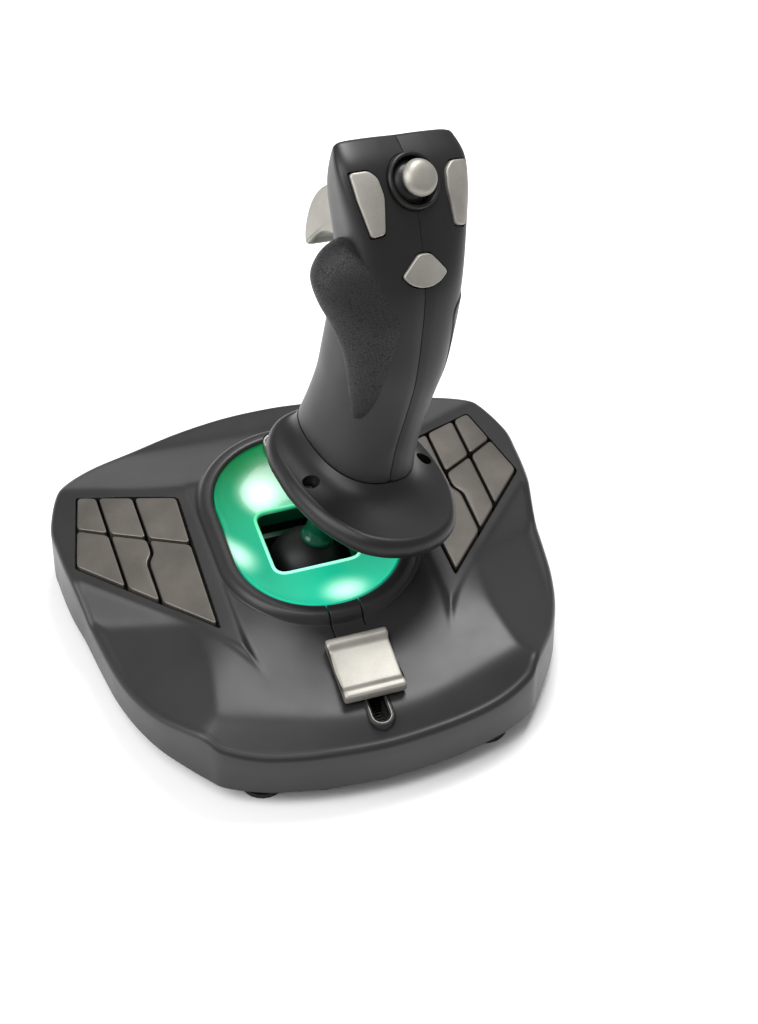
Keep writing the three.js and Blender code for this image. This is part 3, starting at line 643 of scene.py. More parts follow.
@dataclass(frozen=True)
class CircuitBoard:
    """Glass-epoxy board under green solder mask: glossy, with faint copper tracks."""

    name: str = "solder_mask_board"

    def build(self) -> bpy.types.Material:
        """Makes the material."""
        mat, tree, at = start(self.name)
        tracks = add_node(tree, "ShaderNodeTexBrick", {"Scale": 1 / 0.004, "Color1": linear("#0d4426"),
                                                       "Color2": linear("#0f5230"),
                                                       "Mortar": linear("#1f7d4a"),
                                                       "Mortar Size": 0.03}, {"Vector": at})
        bump = add_node(tree, "ShaderNodeBump", {"Strength": 0.3, "Distance": 0.03 * MM},
                        {"Height": tracks.outputs["Fac"]})
        finish_surface(tree, {"Roughness": 0.3, "IOR": 1.52},
                       {"Base Color": tracks.outputs["Color"], "Normal": bump.outputs[0]})
        return mat


@dataclass
class Finishes:
    """Every finish of the joystick, built once."""

    charcoal: bpy.types.Material = field(init=False)
    grip_black: bpy.types.Material = field(init=False)
    black: bpy.types.Material = field(init=False)
    silver: bpy.types.Material = field(init=False)
    gunmetal: bpy.types.Material = field(init=False)
    leather: bpy.types.Material = field(init=False)
    rubber: bpy.types.Material = field(init=False)
    steel: bpy.types.Material = field(init=False)
    board: bpy.types.Material = field(init=False)
    lens: bpy.types.Material = field(init=False)
    lens_edge_painted_highlight: bpy.types.Material = field(init=False)
    sleeve: bpy.types.Material = field(init=False)
    painted_glow_wall: bpy.types.Material = field(init=False)

    ring_y: float = 9.75

    def __post_init__(self) -> None:
        """Builds the materials."""
        y = self.ring_y
        # Soft-touch ABS of the base: a broad, silky highlight.
        self.charcoal = MouldedPlastic("moulded_abs_charcoal", "#201f1f", "#282727", 0.38, edge_mm=0.45,
                                       sheen=0.05).build()
        self.grip_black = MouldedPlastic("moulded_abs_grip", "#171616", "#1d1c1c", 0.4, 0.4, 0.016,
                                         edge_mm=0.35).build()
        self.black = MouldedPlastic("moulded_abs_black", "#0c0c0c", "#111111", 0.5).build()
        self.silver = MetallicPaint("silver_lacquer", "#8c8982", "#b0ada6").build()
        self.gunmetal = MetallicPaint("gunmetal_lacquer", "#55514c", "#6c6761", 0.6, 0.4).build()
        self.leather = GrainedRubber("leather_grained_rubber", "#101011", "#242324").build()
        self.rubber = GrainedRubber("moulded_rubber", "#101010", "#1a1a1a", 2.0, 0.05, 0.65).build()
        self.steel = Steel("ground_steel", "#8f8f8d").build()
        self.board = CircuitBoard().build()
        # Spots where the ring glows stronger for the lamps below and turns near-white as painted
        # highlights.
        spot_centres = ((-12, y + 27, 38), (12, y + 27, 38), (-32, y - 8, 40), (32, y - 8, 40), (5, y - 38, 38))
        self.lens = AcrylicGlowAndPaintedLight("lit_green_acrylic", "#0e6b3c", "#1cc9a0", 0.36, spot_centres,
                               axis=(y - 40, y + 40)).build()
        # Painted highlight: the bead along the opening glows near-white on the near side and green on the
        # far side.
        self.lens_edge_painted_highlight = AcrylicGlowAndPaintedLight("lit_acrylic_edge", "#2fae74", "#a8ffe0", 0.6, (),
                                    axis=(y - 20, y + 20)).build()
        # Painted light: the well's liner is painted dark green and glows faintly with the ring's light.
        self.painted_glow_wall = AcrylicGlowAndPaintedLight("shaded_acrylic_wall", "#03331f", "#04452c", 0.12, (),
                                   axis=(y - 20, y + 20)).build()
        # Painted light: the sleeve is tinted green with the ring's light.
        self.sleeve = MouldedPlastic("moulded_sleeve_green", "#0b3a28", "#115039", 0.2, 0.6, 0.005).build()


def dress(obj: bpy.types.Object, mat: bpy.types.Material) -> None:
    """Gives an object one material."""
    obj.data.materials.clear()
    obj.data.materials.append(mat)


def install(obj: bpy.types.Object, mat: bpy.types.Material, body: str, slot: str,
            *nodes: str) -> bpy.types.Object:
    """Dresses a piece and ties it to its body.

    Args:
        obj: the piece.
        mat: its finish.
        body: the body that it rides on.
        slot: the record's material slot; not used.
        nodes: the frame's nodes that it stands for.

    Returns:
        The piece.
    """
    dress(obj, mat)
    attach(obj, body)
    if nodes:
        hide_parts(*nodes)
    LOG.info("%s on %s: %d faces", obj.name, body, len(obj.data.polygons))
    return obj


# ---------------------------------------------------------------------- base
@dataclass
class Base:
    """The base shell with its lit well, key fields and throttle, in a frame on the table under the ring."""

    frame: Matrix
    finishes: Finishes
    rim_z: float = 44.0
    ring_r: float = 34.0
    ring_half: float = 15.0
    open_half: float = 18.2
    open_z: float = 34.0
    split_z: float = 8.0
    slope: float = 0.15
    plug_y: float = 47.5
    plug_hole_r: float = 5.2
    groove_x: float = 6.6
    groove_half: float = 0.35
    groove_ends: dict[Side, float] = field(default_factory=lambda: {Side.LEFT: -68, Side.RIGHT: -60})
    groove_start: float = -46
    around: int = 480
    half: Plan = field(default_factory=lambda: [
        (0, -112), (25, -110), (47, -105), (62, -98), (67.5, -92), (75, -82), (82, -71), (88, -57),
        (92, -42),
        (94.5, -25), (96.5, -8), (99, 8), (100, 24), (99.5, 38), (92, 57), (79, 69.5), (62, 78), (40, 85),
        (18, 89), (0, 90)])
    field_plan: Plan = field(default_factory=lambda: [(47, 30), (86, 48), (95, 10), (49, -45)])
    keys: dict[int, Plan] = field(default_factory=lambda: {
        1: [(47, 30), (64, 37.8), (64, 12.4), (48, 2)],
        2: [(64, 37.8), (78, 44.3), (78, 21.5), (64, 12.4)],
        3: [(78, 44.3), (86, 48), (90.3, 30), (78, 21.5)],
        4: [(48, 2), (64, 12.4), (64, 4), (67, -0.5), (67, -23.5), (49, -45)],
        5: [(64, 12.4), (78, 21.5), (78, -10.3), (67, -23.5), (67, -0.5), (64, 4)],
        6: [(78, 21.5), (90.3, 30), (95, 10), (78, -10.3)]})
    slot_y: tuple[float, float] = (-66.0, -104.0)
    slot_w: float = 6.0
    cap_y: float = -80.0

    def outline(self) -> Plan:
        """The smooth outline of the base."""
        return [tuple(p) for p in catmull(whole(self.half), 700, closed=True)]

    def panel_z(self, y: float | np.ndarray) -> float | np.ndarray:
        """Height of the sloping front panel."""
        return 41 + self.slope * (y + 50)

    def field_z(self, x: float | np.ndarray) -> float | np.ndarray:
        """Height of the key fields."""
        return 41 - 0.146 * (np.abs(x) - 47)

    def height(self, x: np.ndarray, y: np.ndarray) -> np.ndarray:
        """Height of the shell's top over a plan point.

        Args:
            x: distance right of the middle, in mm.
            y: distance away from the user, from the ring's centre.

        Returns:
            The heights in mm.
        """
        ax = np.abs(x)
        flat = np.full_like(ax, 41.0)
        side = plane_height((62.5, -20, 38.7), (62.5, -84, 35.6), (90, -40, 24))(ax, y)
        front = plane_height((0, -100, 33.5), (10, -100, 33.5), (0, -112, 26.3))(ax, y)
        corner = plane_height((21.3, -98.6, 33.7), (58.3, -86.6, 35.5), (25, -110, 26.6))(ax, y)
        main = smooth_min(flat, self.panel_z(y), self.field_z(x), soft=0.8)
        main = smooth_min(smooth_min(main, side, soft=0.4), front, corner, soft=0.8)
        edge = plane_height((52, -48.5, 39), (98, 6.5, 33.6), (106, 0, 22))(ax, y)
        block = smooth_min(flat, self.field_z(x), edge, 41 + 1.2 * (ax - 42), soft=0.5)
        top = smooth_max(main, block, soft=0.7)
        rear = plane_height((38, 36, 41), (86, 54, 35), (18, 89, 20))(ax, y)
        top = smooth_min(top, rear, soft=0.4)
        gap = np.hypot(x, np.maximum(np.abs(y) - self.ring_half, 0)) - self.ring_r
        lip = np.interp(gap, [0.4, 0.8, 1.5, 2.3, 3.8, 5.1, 6.1, 6.9, 7.5, 8.1, 9.2],
                        [43.4, 44.1, 44.5, 44.6, 44.6, 44.2, 43.3, 42.2, 40.6, 38, 25])
        return smooth_max(top, lip, soft=0.5)

    def shell(self) -> bpy.types.Object:
        """Builds the upper shell with its pockets."""
        n = self.around
        edge = self.outline()
        rings = []
        collar = [0.4, 0.7, 1.1, 1.5, 2, 2.6, 3.2, 3.8, 4.4, 5, 5.5, 6, 6.4, 6.8, 7.2, 7.5, 7.9, 8.5, 9.3,
                  10]
        for g in collar:
            p = polar(stadium(self.ring_r + g, self.ring_half, 200), (0, 0), n)
            rings.append(level(p, self.height(p[:, 0], p[:, 1])))
        inner = polar(stadium(self.ring_r + 10, self.ring_half, 200), (0, 0), n)
        radius = 3.0
        outer = polar(offset(edge, -radius), (0, 0), n)
        for t in np.linspace(0, 1, 72)[1:]:
            p = inner + (outer - inner) * t
            rings.append(level(p, self.height(p[:, 0], p[:, 1])))
        top = rings[-1][:, 2]
        for a in np.linspace(0, 1, 7)[1:] * math.pi / 2:
            p = polar(offset(edge, -radius * (1 - math.sin(a))), (0, 0), n)
            rings.append(level(p, top - radius * (1 - math.cos(a)) * 0.9))
        wall = rings[-1][:, 2]
        for t in (0.33, 0.66, 1.0):
            rings.append(level(polar(offset(edge, 0.25 * t), (0, 0), n),
                               wall + (self.split_z + 0.6 - wall) * t))
        rings.append(level(polar(offset(edge, -0.4), (0, 0), n), self.split_z))
        hole = polar(stadium(self.ring_r + 0.4, self.ring_half, 200), (0, 0), n)
        rings.append(level(hole, self.split_z))
        rings.append(level(hole, 30.0))
        obj = Solid().loft(rings, loop=True).piece("base_top_cover", self.frame)
        cutters = Solid()
        plan = rounded(offset(self.field_plan, 0.5), 2.0)
        for p in (plan, mirrored(plan)):
            cutters.prism(p, 27, 60)
        cutters.prism(self.slot_plan(0), 12, 60)
        cutters.prism(circle(self.plug_hole_r, 48, (0, self.plug_y)), 32, 60)
        for side, end in self.groove_ends.items():
            x, half = side.value * self.groove_x, self.groove_half
            cutters.prism([(x - half, end), (x + half, end), (x + half, self.groove_start),
                           (x - half, self.groove_start)], 37, 60)
        cut(obj, cutters, self.frame, 32)
        return install(obj, self.finishes.charcoal, "base", "charcoal_shell", "base_shell_upper")

    def slot_plan(self, grow: float) -> Plan:
        """The throttle slot's plan, grown all round."""
        r = self.slot_w / 2
        top = [((r + grow) * math.cos(t), self.slot_y[0] - r + (r + grow) * math.sin(t))
               for t in np.linspace(0, math.pi, 14)]
        low = [((r + grow) * math.cos(t), self.slot_y[1] + r + (r + grow) * math.sin(t))
               for t in np.linspace(math.pi, 2 * math.pi, 14)]
        return top + low

    def slot_band(self, name: str, profile: Sequence[tuple[float, float]]) -> bpy.types.Object:
        """Builds a band that follows the throttle slot, from steps outwards and upwards."""
        rings = []
        for grow, lift in profile:
            p = np.array(self.slot_plan(grow))
            rings.append(level(p, self.panel_z(p[:, 1]) + lift))
        return Solid().loft(rings, loop=True).piece(name, self.frame, 50)

    def slot_rim(self) -> bpy.types.Object:
        """Builds the dark rim round the throttle slot and the thin line laid on it."""
        rim = self.slot_band("throttle_slot_rim", (
            (0, -2.5), (0, 0.1), (0.2, 0.35), (0.9, 0.45), (1.6, 0.45), (2.0, 0.35), (2.3, 0.1),
            (2.4, -0.4),
            (2.4, -2.5)))
        install(rim, self.finishes.black, "base", "gunmetal_paint", "slot_bezel")
        line = self.slot_band("throttle_slot_line", ((0.7, 0.3), (0.8, 0.6), (1.1, 0.6), (1.2, 0.3)))
        return install(line, self.finishes.gunmetal, "base", "gunmetal_paint")

    def ring(self) -> None:
        """Builds the lit ring, its edge bead that glows as a painted highlight and the well's walls, which
        glow with the ring's light as painted light.
        """
        n = 240
        rim = polar(stadium(self.ring_r, self.ring_half, 300), (0, 0), n)
        square = rounded([(self.open_half, -self.open_half), (self.open_half, self.open_half),
                          (-self.open_half, self.open_half), (-self.open_half, -self.open_half)], 5.5, 8)
        edge = polar(square, (0, 0), n)
        profile = catmull([(0, 0), (0.03, 1.1), (0.12, 3.0), (0.3, 5.4), (0.55, 7.6), (0.8, 9.1), (1, 9.9)],
                          30)
        rings = [level(rim, self.rim_z - 6), level(rim, self.rim_z - 0.5),
                 level(rim + (edge - rim) * 0.012, self.rim_z - 0.1)]
        rings += [level(rim + (edge - rim) * t, self.rim_z - 0.3 - dz) for t, dz in profile[1:]]
        floor = rings[-1]
        for grow, drop in ((-0.35, 0.25), (-0.6, 0.8), (-0.6, 4.0)):
            rings.append(level(polar(offset(square, grow), (0, 0), n), self.rim_z - 10.2 - drop))
        rings.append(level(polar(offset(square, 1.6), (0, 0), n), self.open_z - 4))
        rings.append(level(rim + (edge - rim) * 0.3, self.rim_z - 8.5))
        obj = Solid().loft(rings, loop=True).piece("lit_well_ring", self.frame, 70)
        hole = circle(self.plug_hole_r, 48, (0, self.plug_y))
        cut(obj, Solid().prism(hole, 25, 60), self.frame, 70)
        install(obj, self.finishes.lens, "base", "green_lens", "light_ring")
        # A bead along the opening that glows as a painted highlight.
        bead = []
        for a in np.linspace(0, 2 * math.pi, 12, endpoint=False):
            p = polar(offset(square, 0.15 + 0.75 * math.cos(a)), (0, 0), n)
            bead.append(level(p, floor[0, 2] - 0.05 + 0.75 * math.sin(a)))
        obj = Solid().loft(bead, loop=True).piece("well_edge_bead", self.frame, 80)
        install(obj, self.finishes.lens_edge_painted_highlight, "base", "green_lens")
        # The well's walls glow dark green as painted light from the ring.
        walls = []
        for grow, z in ((-0.75, self.open_z - 1.2), (-0.8, 27), (-0.6, 26.2), (0, 26)):
            walls.append(level(polar(offset(square, grow), (0, 0), n), z))
        for grow, z in ((1.2, 26), (1.2, 29.6), (-0.1, 29.9)):
            walls.append(level(polar(offset(square, grow), (0, 0), n), z))
        obj = Solid().loft(walls, loop=True).piece("well_wall", self.frame, 50)
        install(obj, self.finishes.painted_glow_wall, "base", "black_shell", "well_liner")

    def plug(self) -> bpy.types.Object:
        """Builds the locking plug behind the ring: a slotted disc sunk in a raised bezel."""
        y = self.plug_y
        prof = catmull([(4.9, 0), (4.9, 1.2), (4.4, 1.5), (3.9, 1.2), (3.7, 0.2), (3.2, 0.15), (0.6, 0.3)],
                       26)
        circle = np.array([(math.cos(t), math.sin(t))
                           for t in np.linspace(0, 2 * math.pi, 64, endpoint=False)])
        rings = [level(circle * 4.9 + (0, y), 34)]
        rings += [level(circle * r + (0, y), 43.0 + z) for r, z in prof]
        obj = Solid().loft(rings).piece("lock_plug", self.frame, 60)
        cut(obj, Solid().prism([(-0.6, y - 3), (0.6, y - 3), (0.6, y + 3), (-0.6, y + 3)], 42.4, 60),
            self.frame)
        return install(obj, self.finishes.silver, "base", "silver_paint", "rear_lock_plug")

    def key(self, side: Side, number: int) -> bpy.types.Object:
        """Builds one key of a side field.

        Args:
            side: the field it belongs to.
            number: its place in the field.

        Returns:
            The key.
        """
        plan = self.keys[number] if side is Side.RIGHT else mirrored(self.keys[number])
        plan = dense(rounded(offset(plan, -0.6), 2.1, 6), 3.0)
        rings = rounded_rings(plan, -4.0, 1.0, 0.55, 0.12)
        for r in rings:
            r[:, 2] += self.field_z(r[:, 0])
        word = side.name.lower()
        obj = Solid().loft(rings, caps=(True, True)).piece(f"key_{word}_{number}", self.frame, 50)
        name = f"base_button_{word}_{number}"
        return install(obj, self.finishes.gunmetal, name, "gunmetal_paint", name)

    def throttle(self) -> bpy.types.Object:
        """Builds the throttle cap: a shallow saddle between two lips, on a stem."""
        side = rounded([(-14, 1.1), (14, 1.1), (14, 6.2), (11, 6.4), (8.8, 4.5), (-8.8, 4.5), (-11, 6.4),
                        (-14, 6.2)], 1.1, 6)
        side = dense(side, 1.5)
        rings = []
        for x, inset in ((-12.5, 0.8), (-12.3, 0.35), (-11.8, 0.08), (-11, 0), (0, 0), (11, 0),
                         (11.8, 0.08),
                         (12.3, 0.35), (12.5, 0.8)):
            p = np.array(offset(side, -inset))
            rings.append(np.column_stack([np.full(len(p), x), p]))
        body = Solid().loft(rings)
        body.prism([(-2.4, -5.2), (2.4, -5.2), (2.4, 5.2), (-2.4, 5.2)], -5, 3)
        tilt = Matrix.Translation((0, self.cap_y, self.panel_z(self.cap_y))) @ Matrix.Rotation(
            math.atan(self.slope), 4, "X")
        obj = body.piece("throttle_cap", self.frame @ tilt, 45)
        return install(obj, self.finishes.silver, "throttle", "silver_paint", "throttle_slider")

    def build(self) -> None:
        """Builds everything fixed to the base and its keys."""
        self.shell()
        self.slot_rim()
        self.ring()
        self.plug()
        for side in Side:
            for number in self.keys:
                self.key(side, number)
        self.throttle()


# --------------------------------------------------------------------- stick
@dataclass
class Stick:
    """The leaning shaft's sleeve and dust dome, in a frame on the gimbal's centre along the shaft."""

    frame: Matrix
    finishes: Finishes
    dome_r: float = 17.5
    shaft_r: float = 5.3

    def turned(self, name: str, profile: Sequence[Sequence[float]], sharp: float = 45) -> bpy.types.Object:
        """Builds a turned piece from a profile of radius and height."""
        circle = np.array([(math.cos(t), math.sin(t))
                           for t in np.linspace(0, 2 * math.pi, 72, endpoint=False)])
        rings = [level(circle * r, z) for r, z in profile]
        return Solid().loft(rings, loop=True).piece(name, self.frame, sharp)

    def build(self) -> None:
        """Builds the dome and the sleeve."""
        r = self.dome_r
        outer = [(r * math.sin(a), r * math.cos(a)) for a in np.radians(np.linspace(15, 81, 30))]
        inner = [((r - 2) * math.sin(a), (r - 2) * math.cos(a))
                 for a in np.radians(np.linspace(81, 18, 16))]
        dome = self.turned("dust_cap_dome", outer + inner)
        install(dome, self.finishes.black, "stick", "black_shell", "dust_dome")
        s = self.shaft_r
        profile = [(4.4, r + 0.2), (s + 1.6, r - 0.3), (s + 1.7, r + 0.6), (s + 1.2, r + 1.6),
                   (s + 0.5, r + 2.4),
                   (s + 0.35, r + 6), (s + 0.1, 44), (s, 48.6), (s - 0.4, 49.4), (4.4, 49.6)]
        # The sleeve's green tint is painted light from the ring.
        sleeve = self.turned("shaft_cover", profile, 60)
        install(sleeve, self.finishes.sleeve, "stick", "green_lens", "shaft_sleeve")


# ---------------------------------------------------------------------- grip
@dataclass
class Section:
    """One cut through the grip: front and back points (y, z), half width, corner exponent and flare."""

    front: tuple[float, float]
    back: tuple[float, float]
    width: float
    corner: float
    flare: float = 0.0


@dataclass
class Grip:
    """The twisting grip: two handle shells, palm skirt, pads, trigger, hat and head buttons."""

    frame: Matrix
    finishes: Finishes
    sections: list[Section] = field(default_factory=lambda: [
        Section((22, 76), (-33, 76), 20, 2.4), Section((20, 87), (-31, 90), 19.5, 2.4),
        Section((18, 101), (-31, 109), 20, 2.4), Section((17, 115), (-30.5, 124), 21.5, 2.5),
        Section((17, 130), (-27, 140), 22.5, 2.6, 0.02), Section((18, 143), (-22.5, 155), 23, 2.8, 0.05),
        Section((21, 155), (-17.5, 165), 22.8, 3.2, 0.1), Section((26, 165), (-8.5, 178), 23.8, 3.8, 0.14),
        Section((29.5, 173), (1, 189), 25.3, 4.4, 0.17), Section((30, 181), (10.5, 197), 26, 4.8, 0.17),
        Section((28.5, 188.5), (20, 201), 25, 4.8, 0.12),
        Section((29.5, 190.7), (22.4, 201), 23, 4.8, 0.12)])
    skirt_half: Plan = field(default_factory=lambda: [
        (0, 26), (12, 24.6), (21, 20.5), (28, 13), (32, 4), (33.5, -6), (34, -18), (32, -32), (28, -43),
        (22, -52.5), (14, -58), (6, -60.5), (0, -61)])
    skirt_z: float = 60.0
    skirt_top: float = 75.5
    screw: tuple[float, float] = (26.5, -18.5)
    rows: int = 86
    columns: int = 104
    surface: BVHTree | None = None

    def table(self) -> np.ndarray:
        """The sections as rows of numbers, smoothly filled in between."""
        raw = [(*s.front, *s.back, s.width, s.corner, s.flare) for s in self.sections]
        return catmull(raw, self.rows)

    def ring(self, row: np.ndarray, angles: np.ndarray, grow: float = 0.0) -> Ring:
        """Points round one section.

        Args:
            row: front y, z, back y, z, half width, corner exponent and flare.
            angles: from the back over the right side to the front and round.
            grow: how far to stand off the surface.

        Returns:
            The points.
        """
        f, b = np.array([0, row[0], row[1]]), np.array([0, row[2], row[3]])
        e = b - f
        half = np.linalg.norm(e) / 2
        e /= 2 * half
        c, s = np.cos(angles), np.sin(angles)
        u = np.sign(c) * np.abs(c) ** (2 / row[5]) * (half + grow)
        x = np.sign(s) * np.abs(s) ** (2 / row[5]) * (row[4] + grow) * (1 + row[6] * u / (half + grow))
        return (f + b) / 2 + u[:, None] * e + x[:, None] * np.array([1.0, 0, 0])

    def form(self, side: Side | None = None, grow: float = 0.0) -> Solid:
        """The grip's outer form, whole or as one half with a flat inner face.

        Args:
            side: the half wanted, or None for the whole.
            grow: how far to stand off the surface.

        Returns:
            The closed solid.
        """
        rings = []
        for row in self.table():
            if side is None:
                rings.append(self.ring(row, np.linspace(0, 2 * math.pi, self.columns, endpoint=False),
                                       grow))
                continue
            a = np.linspace(0, math.pi, self.columns // 2 + 1)
            r = self.ring(row, a, grow)
            # The meeting edges turn in slightly, which leaves the seam as a fine groove.
            r[:, 0] = np.maximum(r[:, 0], 0.14)
            for end in (0, -1):
                mid = (r[0] + r[-1]) / 2
                r[end] = r[end] + (mid - r[end]) / np.linalg.norm(mid - r[end]) * 0.5
            r[:, 0] *= side.value
            rings.append(r)
        last = rings[-1]
        mid = last.mean(0)
        push = np.array([0, 0.13, 0.09])
        for s, k in ((0.93, 3.0), (0.8, 5.5), (0.55, 8), (0.25, 9)):
            extra = mid + (last - mid) * s + push * k * 0.35
            if side is not None:
                extra[:, 0] = np.where(np.abs(last[:, 0]) < 0.2, last[:, 0], extra[:, 0])
                extra[:, 0] = np.maximum(np.abs(extra[:, 0]), 0.14) * side.value
            rings.append(extra)
        return Solid().loft(rings)

    def face(self, point: Sequence[float], normal: Sequence[float],
             up: Sequence[float] = (0, 1, 0)) -> Matrix:
        """A frame on the grip's surface, with Z outwards."""
        z = Vector(normal).normalized()
        x = Vector(up).cross(z).normalized()
        y = z.cross(x)
        m = Matrix((x, y, z)).transposed().to_4x4()
        m.translation = Vector(point)
        return m

    @property
    def hat_frame(self) -> Matrix:
        """The hat's frame on the face of the head."""
        return self.face((0, 4.5, 192.6), (0, -0.66, 0.75))

    @property
    def lower_frame(self) -> Matrix:
        """The lower head button's frame."""
        return self.face((0, -17, 165), (0, -0.86, 0.5))

    def paddle_frame(self, side: Side) -> Matrix:
        """The frame of a side paddle of the head."""
        return self.face((side.value * 19.3, 1.5, 187.2), (side.value * 0.22, -0.69, 0.69))

    def paddle_plan(self, side: Side) -> Plan:
        """The plan of a side paddle."""
        p = [(-6.2, 7.5), (-3.6, 11.2), (3.7, 12.8), (4.6, 2.5), (4.3, -12.2), (-0.9, -12.8), (-5.9, 0.2)]
        return p if side is Side.RIGHT else mirrored(p)

    lower_plan: Plan = field(default_factory=lambda: [
        (-10, 0.3), (-6, 4.6), (-2.6, 8), (2.6, 8), (6, 4.6), (10, 0.3), (6.5, -3), (2.4, -4.6),
        (-2.4, -4.6),
        (-6.5, -3)])
    pin: tuple[float, float] = (21.0, 164.0)
    pull: float = -14.5
    hat_pocket_r: float = 11.3
    trigger_plan: Plan = field(default_factory=lambda: [
        (14.5, 160), (17, 167), (24, 170), (33, 170.5), (40, 168), (46.5, 161.5), (50, 153.5), (50.5, 145),
        (49, 138), (46.5, 134.5), (44, 136), (41.5, 141), (37.5, 146), (32, 149.5), (25, 151), (19, 153.5)])

    def drape(self, rings: list[Ring], frame: Matrix) -> list[Ring]:
        """Lays rings that are flat in a frame over the grip's surface.

        Args:
            rings: rings in the frame, their z measured from the surface.
            frame: the frame, in grip coordinates.

        Returns:
            The rings in grip coordinates.
        """
        n = (frame.to_3x3() @ Vector((0, 0, 1))).normalized()
        out = []
        for r in rings:
            pts = place(np.column_stack([r[:, :2], np.zeros(len(r))]), frame)
            laid = []
            for p, z in zip(pts, r[:, 2]):
                hit = self.surface.ray_cast(Vector(p) + n * 14, -n, 30)
                foot = hit[0] if hit[0] is not None else Vector(p)
                laid.append(tuple(foot + n * z))
            out.append(np.array(laid))
        return out

    def shells(self) -> None:
        """Builds the two handle shells with the head's pockets."""
        whole_form = self.form()
        self.surface = BVHTree.FromPolygons([Vector(v) for v in whole_form.verts], whole_form.faces)
        for side in Side:
            word = side.name.lower()
            obj = self.form(side).piece(f"grip_shell_{word}", self.frame, 50)
            cutters = Solid()
            cutters.prism(dense(rounded(offset(self.lower_plan, 0.5), 1.2), 3), -6, 12, self.lower_frame)
            cutters.prism(dense(rounded(offset(self.paddle_plan(side), 0.5), 1.2), 3), -7.8, 12,
                          self.paddle_frame(side))
            cutters.prism(circle(self.hat_pocket_r, 64), -6, 14, self.hat_frame)
            cut(obj, cutters, self.frame, 32)
            across = Matrix(((0, 0, 1, 0), (1, 0, 0, 0), (0, 1, 0, 0), (0, 0, 0, 1)))
            cut(obj, Solid().prism(offset(self.trigger_mouth(), 0.8), -9.8, 9.8, across), self.frame, 32)
            install(obj, self.finishes.grip_black, "grip", "charcoal_shell", f"handle_shell_{word}")

    def trigger_mouth(self) -> Plan:
        """The side view that the trigger sweeps: its back edge is taken fully pulled."""
        c, s = math.cos(math.radians(self.pull)), math.sin(math.radians(self.pull))
        py, pz = self.pin
        return [(py + c * (y - py) - s * (z - pz), pz + s * (y - py) + c * (z - pz)) if y < 43 and z < 162
                else (y, z)
                for y, z in self.trigger_plan]

    def skirt(self) -> bpy.types.Object:
        """Builds the palm skirt, with a rounded rolled rim and two screw holes."""
        n = 220
        centre = (0.0, -14.0)
        plan = [tuple(p) for p in catmull(whole(self.skirt_half), 260, closed=True)]
        first = self.table()[0]
        neck_plan = [tuple(p[:2]) for p in self.ring(first,
                                                     np.linspace(0, 2 * math.pi, 200, endpoint=False))]

        def sk(d: float) -> np.ndarray:
            """The skirt's edge, stood off by d."""
            return polar(offset(plan, d), centre, n)

        def nk(d: float) -> np.ndarray:
            """The neck's edge, stood off by d."""
            return polar(offset(neck_plan, d), centre, n)

        z = self.skirt_z
        rings = []
        wall = [(-3.4, 0.0), (-2.2, 0.05), (-1.2, 0.5), (-0.5, 1.4), (-0.1, 2.8), (0, 4.2), (-0.2, 5.6),
                (-0.7, 6.9),
                (-1.5, 7.9), (-2.4, 8.5), (-3.2, 8.75)]
        for d, h in catmull(wall, 30):
            rings.append(level(sk(d), z + h))
        start_plan, end_plan = sk(-3.2), nk(0.25)
        for t, dz in catmull([(0, 8.75), (0.1, 8.9), (0.3, 9.4), (0.5, 10.2), (0.68, 11.3), (0.82, 12.6),
                              (0.93, 14.2),
                              (1.0, 15.5)], 30)[1:]:
            rings.append(level(start_plan + (end_plan - start_plan) * t, z + dz))
        rings.append(level(nk(-1.4), self.skirt_top))
        rings.append(level(nk(-2.6), self.skirt_top - 2.6))
        rings.append(level(nk(-2.0), z + 9.6))
        mid = sk(-5.2)
        rings.append(level(mid + (nk(-2) - mid) * 0.5, z + 7.2))
        rings.append(level(sk(-5.2), z + 5.4))
        rings.append(level(sk(-5.2), z + 0.8))
        obj = Solid().loft(rings, loop=True).piece("palm_rest_skirt", self.frame, 55)
        holes = Solid()
        for s in (-1, 1):
            holes.prism([(s * self.screw[0] + 3.3 * math.cos(t), self.screw[1] + 3.3 * math.sin(t))
                         for t in np.linspace(0, 2 * math.pi, 40, endpoint=False)], 50, 90)
        cut(obj, holes, self.frame, 35)
        install(obj, self.finishes.grip_black, "grip", "charcoal_shell", "palm_skirt")
        # Dark liners wall the screw holes; their finish is blacker than the skirt's, as painted shade deep
        # in the holes.
        for s, word in ((-1, "left"), (1, "right")):
            c = np.array([(math.cos(t), math.sin(t))
                          for t in np.linspace(0, 2 * math.pi, 40, endpoint=False)])
            at = np.array([s * self.screw[0], self.screw[1]])
            rings = [level(c * r + at, h) for r,
                     h in ((3.35, 68.2), (3.35, 60.6), (4.6, 60.6), (4.6, 68.2))]
            tube = Solid().loft(rings, loop=True).piece(f"screw_well_{word}", self.frame)
            install(tube, self.finishes.black, "grip", "charcoal_shell")
        return obj

